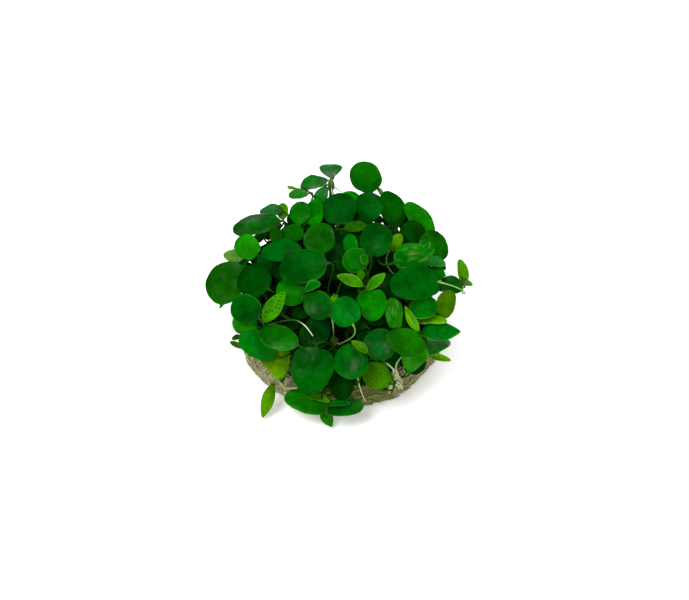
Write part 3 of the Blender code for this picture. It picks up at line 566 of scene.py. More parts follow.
def tube_rings(points, radii, side, face, corners):
    """Rings of a tube along points, the first of them turned to side and face."""
    rings = []
    tangent = (points[1] - points[0]).normalized()
    for i, point in enumerate(points):
        before = points[max(i - 1, 0)]
        after = points[min(i + 1, len(points) - 1)]
        heading = (after - before).normalized()
        turn = tangent.rotation_difference(heading)
        side = turn @ side
        face = turn @ face
        tangent = heading
        ring = []
        for k in range(corners):
            angle = 2 * math.pi * k / corners
            ring.append(point + radii[i] * (math.cos(angle) * side + math.sin(angle) * face))
        rings.append(ring)
    return rings


def crown_path(name, steps):
    """The line of a plant's stem, from its foot on the pad to the crown, and the way that the crown grows."""
    crown = CROWNS[name]
    flat = Vector((crown.x, crown.y, 0))
    reach = min(flat.length, PAD_RADIUS - STEM_INSET)
    low = crown.z < LOW_CROWN
    foot = flat.normalized() * reach * (LOW_STAND if low else HIGH_STAND)
    foot.z = GAP + max(
        pad_top(foot.x + STEM_RADIUS * math.cos(turn), foot.y + STEM_RADIUS * math.sin(turn))
        for turn in range(6)
    ) + STEM_CLEARANCE
    run = RUNS.get(name, 0.0)
    height = max(crown.z - foot.z, CROWN_HEIGHT)
    rise = ((crown - foot).normalized() + Vector((0, 0, 1.0))).normalized()
    under = crown - rise * CROWN_HEIGHT / 2
    inward = (foot - under) * run
    inward.z = 0.0
    first = foot + Vector((0, 0, height * (0.9 if low else 0.35 + 0.4 * run)))
    second = under + inward - rise * height * 0.3 * (1 - run)
    return curve_points((foot, first, second, under), steps), crown, rise


def stem_rings(points, radii, corners):
    """Rings of an upright stem along points."""
    start = Vector((0, 0, 1)).rotation_difference(points[1] - points[0])
    return tube_rings(points, radii, start @ Vector((1, 0, 0)), start @ Vector((0, 1, 0)), corners)


def crown_block(name):
    """The plain form of a stem and crown, which leaves keep clear of."""
    stem, crown, rise = crown_path(name, 3)
    points = stem + [crown, crown + rise * CROWN_HEIGHT * 0.35, crown + rise * CROWN_HEIGHT * 0.6]
    radii = [STEM_RADIUS] * 3 + [CROWN_RADIUS * 0.75, CROWN_RADIUS, CROWN_RADIUS * 0.75, 0.3]
    return skin(stem_rings(points, radii, 4))


def crown_mesh(name):
    """A stem that starts in the pad and swells into the ribbed crown, a slim one on a runner."""
    stem, _, rise = crown_path(name, STEM_STEPS)
    stout = SLIM_CROWN if name in RUNS else 1.0
    points = [stem[0] - Vector((0, 0, 1.6))] + stem
    radii = [STEM_RADIUS * 1.1] + [STEM_RADIUS * (0.8 + 0.1 * math.sin(1.3 * i)) for i in range(len(stem))]
    for i in range(1, CROWN_STEPS + 1):
        t = i / CROWN_STEPS
        swell = 0.62 + 0.38 * math.sin(math.pi * min(t * 1.25, 1.0))
        points.append(stem[-1] + rise * CROWN_HEIGHT * 1.1 * t)
        radii.append(stout * CROWN_RADIUS * swell * (1 - t ** 4) + 0.05)
    rings = stem_rings(points, radii, CROWN_SIDES)
    for ring, middle in zip(rings, points):
        for k, point in enumerate(ring):
            rib = math.cos(CROWN_RIBS * 2 * math.pi * k / CROWN_SIDES)
            ring[k] = middle + (point - middle) * (1 + 0.08 * rib + 0.10 * noise.noise(point * 0.9))
    return skin(rings)


def crown_material():
    """Moist dark green with brownish scales, paler where the crown stands out in the light."""
    made, tree, shader = new_material("crown")
    place = own_place(tree)
    grain = mottle(tree, stretched(tree, place, 1.0, 1.0, 0.25), 1500.0, 4.0)
    scales = between(tree, mottle(tree, place, 330.0, 2.0), 0.54, 0.68)
    sunlit = between(tree, axes_of(tree, place)["Z"], *SUNLIT_HEIGHT)
    green, brown, pale = (blend_colours(tree, grain, dark, light) for dark, light in CROWN_COLOURS)
    shown = blend_colours(tree, sunlit, blend_colours(tree, scales, green, brown), pale)
    dress(tree, shader, shown, 0.45, 0.12, grain, 0.5, 0.0001)
    return made


crown_finish = crown_material()
for crown_name in CROWNS:
    mesh = mesh_of("crown_" + crown_name, *crown_mesh(crown_name))
    mesh.materials.append(crown_finish)
    piece("plant_" + crown_name, mesh, "crown", "crown_" + crown_name)

# The roots in sight. Young roots are white or pale green, smooth and a third of a millimetre thick; they
# hang from the crowns or lie over the rim of the pad.
ROOT_RADIUS = 0.3
# A young root's colours, from where it is green to where it is white
YOUNG_ROOT_COLOURS = (
    (0.0, (0.010, 0.060, 0.003)), (0.45, (0.120, 0.220, 0.060)), (1.0, (0.560, 0.620, 0.400)),
)
ROOTS = {
    "crest_root_a": ("crest", ((332, 192, 1.10), (334, 199, 1.04))),
    "crest_root_b": ("crest", ((342, 192, 1.12), (348, 199, 1.08))),
    "hollow_root": ("hollow", ((333, 325, 0.90), (330, 312, 0.93))),
    "left_root": ("left", ((289, 320, 0.91), (303, 324, 0.92), (313, 336, 0.88))),
    "front_root": ("front", ((357, 374, 0.96), (360, 388, 0.96), (365, 401, 0.92))),
    "rim_root_a": ("rim", ((392, 368, 0.98), (383, 361, 0.98))),
    "rim_root_b": ("rim", ((396, 366, 0.98), (401, 357, 0.97))),
    "rim_root_c": ("rim", ((400, 382, 0.92), (398, 389, 0.90))),
    "low_root": ("low_front", ((333, 383, 0.92), (334, 378, 0.90))),
    "foot_root": ("front_left", ((281, 376, 0.90), (284, 387, 0.92), (297, 388, 0.92))),
}


def loose_tube(points, radii, corners):
    """Rings of a thin tube along points, turned to no special side."""
    side = (points[1] - points[0]).orthogonal().normalized()
    face = side.cross(points[1] - points[0]).normalized()
    return tube_rings(points, radii, side, face, corners)


def root_rings(name, steps, corners, thickness):
    """A root from the middle of its crown through its places in the picture."""
    crown, places = ROOTS[name]
    knots = [CROWNS[crown] - Vector((0, 0, 0.6))] + [on_dome(*place) for place in places]
    points = []
    for i in range(len(knots) - 1):
        before = knots[max(i - 1, 0)]
        after = knots[min(i + 2, len(knots) - 1)]
        first = knots[i] + ((knots[i + 1] - before) / 6 if i else (knots[i + 1] - knots[i]) / 3)
        second = knots[i + 1] - (after - knots[i]) / 6
        points += curve_points((knots[i], first, second, knots[i + 1]), steps)[(1 if i else 0):]
    radii = [thickness * (1.25 - 0.5 * i / (len(points) - 1)) for i in range(len(points))]
    return loose_tube(points, radii, corners)


def root_material():
    """White where the root is young, pale green where it starts at its crown, waxy and faintly mottled."""
    made, tree, shader = new_material("young root")
    start = number(tree, "ADD", own_value(tree, "shade"), -0.15)
    pale = number(tree, "MULTIPLY_ADD", mottle(tree, own_place(tree), 700.0, 3.0), 0.3, start, clamp=True)
    shown = ramp(tree, pale, *YOUNG_ROOT_COLOURS)
    dress(tree, shader, shown, 0.5, 0.15)
    return made


def mark_points(mesh, title, values):
    """Gives each point of a mesh a value that its finish reads."""
    mesh.attributes.new(title, "FLOAT", "POINT").data.foreach_set("value", values)


ROOT_CORNERS = 10
# How pale each root becomes, from which share of its length, and how thick it is
LOOK_OF_ROOT = {
    "left_root": (1.0, 0.45, 0.17), "crest_root_a": (0.85, 0.1, 0.15), "crest_root_b": (0.75, 0.1, 0.17),
    "hollow_root": (0.55, 0.2, 0.15), "front_root": (0.62, 0.2, 0.19), "rim_root_a": (0.72, 0.1, 0.20),
    "rim_root_b": (0.62, 0.1, 0.18), "rim_root_c": (0.80, 0.1, 0.24), "low_root": (0.45, 0.1, 0.17),
    "foot_root": (0.80, 0.05, 0.36),
}
# Old roots, brown and beige
OLD_ROOTS = ("foot_root",)
root_finish = root_material()
old_root = fibre_material("old root", (0.09, 0.075, 0.025), (0.33, 0.29, 0.13), 0.55)
for root_name, (paleness, start, thickness) in LOOK_OF_ROOT.items():
    rings = root_rings(root_name, 10, ROOT_CORNERS, thickness)
    mesh = mesh_of(root_name, *skin(rings))
    shades = [paleness * min(max(4 * (i / len(rings) - start), 0.0), 1.0) for i in range(len(rings))]
    mark_points(mesh, "shade", [shade for shade in shades for _ in range(ROOT_CORNERS)])
    mesh.materials.append(old_root if root_name in OLD_ROOTS else root_finish)
    piece(root_name, mesh, "crown")

# The tuft at the rim. Fine roots of one plant run down over the edge of the pad, matted side by side, and
# spread where they meet the felt.
TUFT_START = (394, 371, 0.955)
TUFT_END = (395.8, 389, 0.935)
TUFT_ROOTS = 90
TUFT_SPREAD = 2.0
TUFT_RADIUS = 0.11
TUFT_CORNERS = 6


def laid_on_felt(point, tree):
    """Where the line of sight through a point meets the felt."""
    met = tree.ray_cast(EYE * MM, (point - EYE).normalized())[0]
    return met / MM + TOWARD * TUFT_RADIUS if met else point


def joined(forms):
    """Several closed forms as one: their points and their faces."""
    points = []
    faces = []
    for own_points, own_faces in forms:
        start = len(points)
        points += own_points
        faces += [tuple(start + corner for corner in face) for face in own_faces]
    return points, faces


def tuft_mesh():
    """Fine roots that start together and spread over the pad's rim."""
    tree = BVHTree.FromPolygons([v.co for v in felt.vertices], [tuple(p.vertices) for p in felt.polygons])
    pick = random.Random("tuft")
    top = on_dome(*TUFT_START)
    foot = on_dome(*TUFT_END)
    forms = []
    shades = []
    for _ in range(TUFT_ROOTS):
        aside = pick.uniform(-1, 1) * TUFT_SPREAD
        start = top + RIGHT * aside * 0.20 + UPWARD * pick.uniform(-3.4, 0.8)
        start += TOWARD * pick.uniform(-0.3, 0.3)
        low = foot + RIGHT * aside + UPWARD * (0.25 * aside + pick.uniform(-0.9, 1.6))
        bow = TOWARD * pick.uniform(0.1, 0.7) + RIGHT * pick.uniform(-0.8, 0.8)
        path = curve_points((start, start.lerp(low, 0.5) + bow, low + bow * 0.3, laid_on_felt(low, tree)), 9)
        radii = [TUFT_RADIUS * (1.3 - 0.10 * i) for i in range(len(path))]
        forms.append(skin(loose_tube(path, radii, TUFT_CORNERS)))
        shades += [pick.uniform(0.10, 0.75)] * len(forms[-1][0])
    mesh = mesh_of("rim_tuft", *joined(forms))
    mark_points(mesh, "shade", shades)
    return mesh


tuft = tuft_mesh()
tuft.materials.append(fibre_material("tuft root", (0.10, 0.10, 0.03), (0.52, 0.54, 0.30), 0.55))
piece("rim_tuft", tuft, "crown")

# The leaves. Each is one thin, nearly round, waxy blade on a pale stalk. The blade bends a little at its
# ends, and arching veins run from its base to its tip. The youngest are still folded along the midrib and
# yellow-green.
STALK_RADIUS = 0.4
BLADE_THICKNESS = 0.6
# A longer stalk than this has one bend more
LONG_STALK = 8.0
# How many ways are tried for the stalk of a leaf in the picture, and of one out of sight
SHOWN_TRIES = 900
HIDDEN_TRIES = 40
# With every try a stalk may turn further round its crown, in radians, end further up or down it, and
# sway more
MOST_TURN = 1.6
YOUNG_CLIMB = 0.9
GROWN_CLIMB = 1.8
SWAY = 1.6
# How often a blade in the picture slides toward the eye to come clear, and how far each time
SLIDES = 80
SLIDE = 0.4
# How many places are tried for a leaf between the others, and for one out of sight
INNER_MOVES = 150
HIDDEN_MOVES = 60
# How far a blade stays above the ground
GROUND_CLEARANCE = 0.9
# Where a blade's rings lie from its base to its tip, by the number of corners that each ring has
BLADE_STEPS = {6: (0.0, 0.14, 0.42, 0.74, 0.955), 4: (0.0, 0.24, 0.60, 0.93), 3: (0.0, 0.25, 0.75, 0.95)}

# How each kind of leaf is formed: how far its widest part lies toward the tip, how pointed it is, how
# cupped, how folded along its midrib, and how far its ends droop
FORMS = {
    "round": (1.0, 0.0, 0.10, 0.0, -0.05),
    "fan": (1.8, 0.0, 0.12, 0.0, -0.04),
    "cap": (1.3, 0.0, 0.10, 0.0, -0.04),
    "shield": (0.65, 0.0, 0.10, 0.0, -0.05),
    "oval": (1.0, 0.15, 0.12, 0.0, -0.06),
    "flat": (1.0, 0.12, 0.05, 0.0, -0.01),
    "pointed": (1.0, 0.75, 0.08, 0.10, -0.05),
    "young": (1.0, 0.6, 0.10, 0.35, -0.03),
    "rolled": (1.0, 0.3, 0.30, 0.9, 0.03),
}


class Leaf(NamedTuple):
    """A leaf by its blade's middle in the picture, its size, and how its upper side leans from the eye."""

    crown: str
    x: float
    y: float
    lift: float
    length: float
    width: float
    tip: float
    right: float
    up: float
    form: str
    tone: str


def leaf_rows(table):
    """Leaves by their names, from rows of what each leaf is."""
    return {name: Leaf(*row) for name, row in table.items()}


GROWN = leaf_rows({
    "crest_round": ("upper_right", 365.5, 176.8, 1.20, 9.3, 8.3, 138, 5, 12, "round", "deep"),
    "crest_flat": ("crest", 330.5, 168.8, 1.22, 7.0, 6.4, 93, 0, 56, "cap", "mid"),
    "crest_side": ("crest", 313.5, 181.5, 1.16, 7.8, 5.6, 192, -10, 54, "oval", "mid"),
    "crest_upright": ("crest", 321, 198, 1.05, 6.8, 5.0, -108, -38, 12, "oval", "mid"),
    "upper_mid": ("upper", 340, 208, 1.04, 9.4, 9.0, 80, -5, 22, "round", "deep"),
    "upper_dark": ("upper", 370, 206, 1.01, 8.2, 7.8, 60, 10, 20, "round", "deep"),
    "upper_tall": ("upper_right", 393.5, 208.5, 1.00, 10.8, 9.2, 105, 36, 18, "oval", "deep"),
    "upper_right": ("upper_right", 421, 220, 1.02, 12.4, 8.0, 122, 34, 18, "oval", "fresh"),
    "edge_right": ("right", 432, 247, 0.97, 9.8, 9.0, 60, 28, 10, "round", "deep"),
    "mottled": ("upper_right", 412, 258, 1.03, 10.0, 8.4, 15, 15, 18, "round", "mottled"),
    "broad_right": ("runner", 415, 283.5, 1.07, 13.4, 9.2, 186, 14, 16, "round", "deep"),
    "runner_leaf": ("runner", 451.5, 285, 0.97, 6.6, 5.4, 178, 20, 28, "round", "deep"),
    "pointed": ("front_right", 441, 331, 1.03, 11.0, 6.8, 5, 10, 38, "pointed", "deep"),
    "pointed_under": ("front_right", 438.5, 344.5, 0.97, 9.2, 5.6, 34, 20, 46, "oval", "mid"),
    "right_green": ("right", 424, 308, 1.01, 8.0, 6.4, 20, 20, 28, "round", "mid"),
    "lime_fold": ("front_right", 411.5, 319, 1.04, 7.8, 2.8, 118, -25, 0, "young", "lime"),
    "mid_round": ("upper", 376, 239, 1.04, 9.0, 8.6, 70, 5, 10, "round", "deep"),
    "mid_curl": ("vee", 355, 260, 1.03, 6.8, 6.6, 200, 0, 10, "round", "mid"),
    "heart": ("vee", 371.8, 306, 1.03, 8.2, 7.8, -80, 5, -6, "shield", "fresh"),
    "mid_low": ("hollow", 345, 311, 1.02, 7.8, 7.8, 120, -10, 5, "round", "mid"),
    "mid_left": ("centre", 318, 305, 1.00, 8.0, 7.2, 135, -15, 8, "round", "mid"),
    "left_round": ("upper", 320, 238, 1.05, 8.4, 8.4, 100, -10, 14, "round", "mid"),
    "left_strips": ("upper_left", 314, 212, 1.00, 8.0, 6.4, 95, -34, 18, "oval", "mid"),
    "wing": ("upper_left", 256.3, 224.7, 1.04, 13.4, 8.6, 190, -15, 46, "flat", "deep"),
    "bright_left": ("far_left", 246.5, 246, 1.02, 7.9, 6.6, 140, -20, 20, "round", "fresh"),
    "big_left": ("far_left", 225.5, 282.5, 1.02, 12.4, 11.4, 225, -24, 14, "round", "deep"),
    "dark_left": ("far_left", 253, 280, 1.00, 9.8, 9.4, 150, -20, 18, "round", "deep"),
    "crest_left": ("upper_left", 281, 250, 1.00, 11.4, 7.2, 180, -20, 38, "oval", "deep"),
    "broad_left": ("centre", 302.5, 265.5, 1.06, 13.0, 9.6, 187, -14, 22, "round", "mid"),
    "speckled": ("left", 274, 307, 1.02, 9.8, 4.8, 55, -10, 8, "young", "speckled"),
    "low_left": ("left", 245, 309, 1.00, 9.2, 7.8, 160, -28, 10, "round", "mid"),
    "bright_low": ("left", 256.5, 345.3, 0.97, 11.8, 7.2, 150, -18, 8, "oval", "fresh"),
    "shelf_left": ("front_left", 278, 337, 1.04, 11.4, 7.0, 160, -12, 26, "oval", "mid"),
    "olive_low": ("front_left", 277.5, 361.5, 0.95, 9.6, 8.2, 102, -15, 0, "fan", "olive"),
    "broad_front": ("hollow", 311.5, 371, 1.05, 12.2, 11.2, -100, -5, 0, "shield", "deep"),
    "apron": ("low_front", 307, 401, 0.94, 13.2, 8.0, 162, -5, 34, "oval", "mid"),
    "front_grey": ("low_front", 346, 408.6, 0.97, 9.8, 5.8, 14, 5, 40, "oval", "mid"),
    "gloss_front": ("front", 351, 361, 1.04, 9.2, 9.0, 120, -10, 8, "round", "mid"),
    "front_round": ("front", 380, 344, 1.02, 8.4, 8.0, 100, 0, 8, "round", "mid"),
    "front_right": ("front_right", 406, 342, 1.08, 11.0, 7.6, 165, 20, 16, "oval", "mid"),
})

YOUNG = leaf_rows({
    "thin_right": ("right", 446.3, 304, 0.97, 7.6, 6.2, 75, 35, 0, "round", "olive"),
    "pale_gloss": ("right", 395, 313, 0.98, 8.0, 6.0, 95, 34, 8, "round", "mottled"),
    "crest_small": ("upper_left", 298, 193.8, 1.14, 5.4, 3.6, 185, -10, 40, "oval", "mid"),
    "crest_edge": ("upper", 295, 188, 1.17, 5.0, 2.4, 168, 0, 72, "oval", "pale"),
    "upper_back": ("upper", 350, 200, 1.00, 7.6, 6.0, 60, 5, 44, "oval", "fresh"),
    "edge_grey": ("right", 435, 262, 0.94, 6.4, 4.4, 0, 20, 52, "oval", "mid"),
    "edge_under": ("right", 436, 273.5, 0.93, 6.0, 4.4, 20, 25, 25, "round", "deep"),
    "mottled_back": ("upper_right", 424.5, 250, 1.06, 6.0, 5.2, 70, 15, 14, "round", "mottled"),
    "runner_lime": ("runner", 463.5, 271.5, 1.03, 7.0, 3.4, 101, 25, 0, "oval", "golden"),
    "runner_tip": ("runner", 468.5, 283, 1.03, 2.8, 1.8, -20, 10, 10, "young", "young"),
    "rolled_right": ("front_right", 440, 358, 0.96, 6.0, 2.0, -12, 0, 10, "rolled", "young"),
    "right_band": ("front_right", 432, 319, 1.00, 8.0, 4.6, 3, 0, 60, "oval", "golden"),
    "mid_olive": ("upper", 356, 227, 0.99, 6.4, 4.4, 5, 0, 48, "oval", "golden"),
    "lime_behind": ("right", 396, 242, 0.97, 5.6, 3.4, 54, 10, 10, "oval", "golden"),
    "mid_small": ("vee", 350, 244, 1.00, 5.8, 4.4, 100, -28, 10, "oval", "mid"),
    "curl_ring": ("vee", 364, 260, 1.08, 3.2, 2.2, 95, 0, 20, "rolled", "mid"),
    "vee_left": ("vee", 350, 280.5, 1.08, 7.4, 3.4, 160, 0, 22, "young", "young"),
    "vee_right": ("vee", 376, 281.5, 1.08, 7.2, 2.8, 42, 18, 18, "young", "young"),
    "vee_bud": ("vee", 361, 275, 1.05, 3.4, 2.2, 85, 0, 20, "young", "golden"),
    "bud": ("centre", 334, 299, 0.98, 3.2, 1.8, 50, 0, 20, "young", "lime"),
    "curled_rim": ("centre", 313, 287, 1.02, 4.6, 2.8, 30, 0, 28, "rolled", "fresh"),
    "left_small": ("upper_left", 299, 212, 1.00, 6.8, 6.0, 120, -24, 24, "round", "mid"),
    "wing_back": ("upper_left", 271, 210, 1.02, 6.6, 4.2, 180, -10, 46, "oval", "mid"),
    "wing_olive": ("upper_left", 282, 211, 0.99, 4.8, 3.6, 95, -24, 10, "oval", "golden"),
    "wing_under": ("upper_left", 276.5, 235.5, 0.96, 5.2, 3.6, 115, -20, 10, "oval", "sprout"),
    "pale_left": ("far_left", 236, 256, 0.98, 6.8, 4.6, 182, -20, 38, "oval", "pale"),
    "dark_upper": ("upper_left", 291, 232, 0.94, 7.2, 5.8, 170, -15, 36, "oval", "deep"),
    "low_left_under": ("left", 243.5, 323.5, 0.97, 7.6, 6.0, 165, -30, 0, "round", "mid"),
    "sprout_high": ("left", 236.5, 337.5, 1.00, 3.0, 1.4, 195, -20, 10, "rolled", "sprout"),
    "sprout_low": ("left", 237.5, 345, 0.99, 4.4, 1.6, 157, -20, 10, "rolled", "sprout"),
    "apron_lime": ("low_front", 319, 399, 1.00, 6.2, 3.0, -20, 0, 45, "young", "young"),
    "front_strip": ("low_front", 340, 404, 1.02, 5.6, 2.6, 10, 0, 48, "young", "fresh"),
    "front_drop": ("low_front", 327, 417.5, 0.98, 5.6, 3.4, -62, 0, 0, "young", "young"),
    "hanging": ("front_left", 268, 400.5, 0.95, 10.0, 3.6, -108, -10, -5, "young", "lime"),
    "fold_front": ("front", 360, 347, 1.05, 5.4, 3.0, 145, 20, 28, "young", "young"),
    "yellow_low": ("rim", 413, 357.5, 0.98, 8.2, 7.6, 78, 10, -10, "fan", "young"),
    "olive_front": ("rim", 376, 375, 0.98, 8.6, 7.0, 150, 10, -5, "oval", "olive"),
    "front_dark": ("front", 341, 386, 0.93, 7.2, 6.2, -80, 0, 8, "round", "deep"),
})

# How far a leaf between the others may drift in the picture, sink inward and shrink by its last try
INNER_DRIFT = 4
INNER_SINK = (-0.25, 0.03)
INNER_SHRINK = 0.35
# Leaves deep between the others, each at its own lift or a little further in
INNER = leaf_rows({
    "inner_hollow": ("hollow", 318, 329, 0.84, 8.6, 7.4, 110, 0, 10, "round", "deep"),
    "inner_left": ("left", 292, 318, 0.86, 8.8, 7.8, 60, -15, 10, "round", "deep"),
    "inner_shade": ("centre", 291, 290, 0.90, 8.6, 7.8, 150, -15, 18, "round", "mid"),
    "inner_right": ("right", 392, 286, 0.84, 8.0, 7.0, 160, 10, 18, "round", "deep"),
    "inner_upper": ("upper_right", 388, 262, 0.90, 8.6, 7.4, 190, 10, 22, "round", "deep"),
    "inner_mid": ("centre", 334, 268, 0.82, 8.0, 7.2, 110, 0, 22, "round", "deep"),
    "inner_far": ("far_left", 267, 262, 0.86, 7.4, 6.4, 130, -15, 20, "round", "deep"),
    "inner_gap": ("upper", 346, 240, 0.84, 8.0, 7.0, 95, 0, 20, "round", "deep"),
    "inner_dark": ("upper", 365, 222, 0.92, 6.4, 5.0, 60, 0, 25, "round", "deep"),
    "inner_top": ("upper", 326, 218, 0.88, 7.0, 6.0, 100, -5, 20, "round", "deep"),
})

# Leaves that the picture doesn't show stand in rows: lift, height on the dome, and bearings from the right
HIDDEN_ROWS = (
    (0.90, -0.22, (38, 66, 92, 120, 146)),
    (0.93, 0.10, (36, 55, 74, 93, 112, 131, 150, 170)),
    (0.90, 0.42, (14, 38, 62, 86, 110, 134, 158, 169)),
    (0.88, 0.74, (40, 85, 135)),
    (0.76, 0.20, (205, 240, 270, 300, 335)),
    (0.74, 0.55, (0, 50, 100, 150, 200, 250, 300)),
    (0.74, 0.86, (20, 260)),
)
# How such leaves differ: their lean upward and their tips' swing in degrees, their length, their width as
# a share of it, and their tones
HIDDEN_LEAN = (8, 45)
HIDDEN_SWING = (-50, 50)
HIDDEN_LENGTH = (8.6, 11.4)
HIDDEN_WIDTH = (0.84, 0.96)
HIDDEN_TONES = ("deep", "mid", "mid", "fresh", "deep")
# After how many tries one would have shrunk to nothing
HIDDEN_SHRINK = 200
# Leaves of these tones show their undersides
TURNED_OVER = ("olive", "pale")


class Place(NamedTuple):
    """Where a blade stands: its middle, the way its tip points, its left side and its upper side."""

    middle: Vector
    tip: Vector
    side: Vector
    face: Vector


def place_in_picture(leaf):
    """The place of a leaf that the picture shows, on the dome at the leaf's own lift."""
    toward = -sight(leaf.x, leaf.y)
    right = (RIGHT - RIGHT.dot(toward) * toward).normalized()
    upward = toward.cross(right)
    lean_right = math.tan(math.radians(leaf.right))
    lean_up = math.tan(math.radians(leaf.up))
    face = (toward + lean_right * right + lean_up * upward).normalized()
    angle = math.radians(leaf.tip)
    along = math.cos(angle) * right + math.sin(angle) * upward
    tip = (along - toward * (along.dot(face) / toward.dot(face))).normalized()
    if leaf.tone in TURNED_OVER:
        face = -face
    return Place(on_dome(leaf.x, leaf.y, leaf.lift), tip, face.cross(tip), face)


def half_width(leaf, u):
    """Half the blade's width at u, from 0 at its base to 1 at its tip."""
    shift, point = FORMS[leaf.form][:2]
    moved = min(max(u, 0.0), 1.0) ** shift
    rounded = 2 * math.sqrt(moved * (1 - moved))
    narrowed = math.sin(math.pi * moved ** 0.85) ** 1.15 if 0 < moved < 1 else 0.0
    return leaf.width / 2 * max((1 - point) * rounded + point * narrowed, 0.12 if u < 0.5 else 0.0)


def blade_point(leaf, place, shape, u, v, spread=0.0):
    """A point of the blade's middle surface, v running from -1 at one edge to 1 at the other."""
    cup, fold, droop = FORMS[leaf.form][2:]
    half = half_width(leaf, u) + spread
    across = half * v
    rise = cup * across * across / (leaf.width / 2) + fold * abs(across)
    rise += droop * leaf.length * (2 * u - 1) ** 2 * shape["droop"]
    rise += shape["wave"] * across * math.sin(math.pi * (1.6 * u + shape["turn"]))
    along = (u - 0.5) * leaf.length + spread * (2 * u - 1)
    return place.middle + along * place.tip + across * place.side + rise * place.face


def shape_of(index):
    """The small differences between one leaf and the next."""
    pick = random.Random(100 + index)
    return {"droop": pick.uniform(0.4, 1.7), "wave": pick.uniform(-0.12, 0.12), "turn": pick.uniform(0, 2)}


def blade_rings(leaf, place, shape, corners, spread=0.0):
    """The blade's rings: six points on a grown leaf, four on a young one, three on one out of sight."""
    rings = []
    thick = place.face * (BLADE_THICKNESS / 2 + spread)
    for u in BLADE_STEPS[corners]:
        left = blade_point(leaf, place, shape, u, 1, spread)
        right = blade_point(leaf, place, shape, u, -1, spread)
        if corners == 6:
            near_left = blade_point(leaf, place, shape, u, 0.5, spread)
            near_right = blade_point(leaf, place, shape, u, -0.5, spread)
            top = [near_left + thick, near_right + thick]
            rings.append([left, *top, right, near_right - thick, near_left - thick])
        else:
            middle = blade_point(leaf, place, shape, u, 0, spread)
            if corners == 4:
                rings.append([left, middle + thick, right, middle - thick])
            else:
                rings.append([left + thick / 2, right + thick / 2, middle - thick])
    return rings


def cuts_itself(mesh):
    """Whether two faces of a mesh that don't share a corner cross each other."""
    points, faces = mesh
    tree = BVHTree.FromPolygons(points, faces)
    return any(not set(faces[a]) & set(faces[b]) for a, b in tree.overlap(tree))


class Obstacles:
    """The pieces placed so far, for asking whether a new one would cut into any of them."""

    def __init__(self):
        self.kept = []

    def add(self, mesh, owner):
        points, faces = mesh
        self.kept.append((self.box(points), BVHTree.FromPolygons(points, faces), owner))

    def box(self, points):
        low = [min(p[i] for p in points) for i in range(3)]
        high = [max(p[i] for p in points) for i in range(3)]
        return low, high

    def hit(self, mesh, leave=()):
        points, faces = mesh
        low, high = self.box(points)
        tree = None
        for (other_low, other_high), other, owner in self.kept:
            if owner in leave:
                continue
            if any(low[i] > other_high[i] or high[i] < other_low[i] for i in range(3)):
                continue
            tree = tree or BVHTree.FromPolygons(points, faces)
            if tree.overlap(other):
                return owner
        return None


def stalk_controls(leaf, place, shape, base_angle, base_height, sway, joined):
    """The four control points of a leaf's stalk, from the blade's base to the crown."""
    crown = CROWNS[leaf.crown]
    base = blade_point(leaf, place, shape, 0, 0)
    reach = base - crown
    level = Vector((reach.x, reach.y, 0))
    out = level.normalized() if level.length > 0.5 else Vector((0, -1, 0))
    out = Matrix.Rotation(base_angle, 3, "Z") @ out
    stand = CROWN_RADIUS * 0.4 if joined else CROWN_RADIUS + STALK_RADIUS + GAP
    end = crown + out * stand + Vector((0, 0, base_height))
    length = (base - end).length
    climb = (out * 0.6 + Vector((0, 0, 0.8 if reach.z > 0 else 0.1))).normalized()
    first = base - place.tip * length * 0.36 - place.face * length * 0.06 + sway[0]
    second = end + climb * length * 0.34 + sway[1]
    return base, first, second, end


def stalk_rings(place, path, radius, corners):
    """Rings of a stalk along points, turned as the blade's base is."""
    start = (-place.tip).rotation_difference((path[1] - path[0]).normalized())
    return tube_rings(path, [radius] * len(path), start @ place.side, start @ place.face, corners)


def leaf_block(leaf, place, shape, controls, corners, spread=0.0):
    """The plain form of a whole leaf: its stalk from the crown to the blade, then the blade."""
    long = corners != 3 and (controls[0] - controls[3]).length > LONG_STALK
    path = curve_points(controls, 3 if long else 2)[1:]
    stalk = stalk_rings(place, path, STALK_RADIUS + spread, corners)
    return skin(stalk[::-1] + blade_rings(leaf, place, shape, corners, spread))


def stalk_block(place, controls, spread):
    """The stalk alone, from a little way below the blade, for asking what it would touch."""
    return skin(stalk_rings(place, curve_points(controls, 12)[2:], STALK_RADIUS + spread, 5))


def clear_blade(leaf, place, shape, corners, obstacles):
    """Whether a blade touches nothing and stays off the ground."""
    mesh = skin(blade_rings(leaf, place, shape, corners, GAP))
    return min(p.z for p in mesh[0]) > GROUND_CLEARANCE and not obstacles.hit(mesh)


def lift_of(point):
    """How far out a point stands, as a share of the dome."""
    above = max(point.z - DOME_WAIST, 0.0) / DOME_RISE
    return math.sqrt((point.x ** 2 + point.y ** 2) / DOME_RADIUS ** 2 + above ** 2)


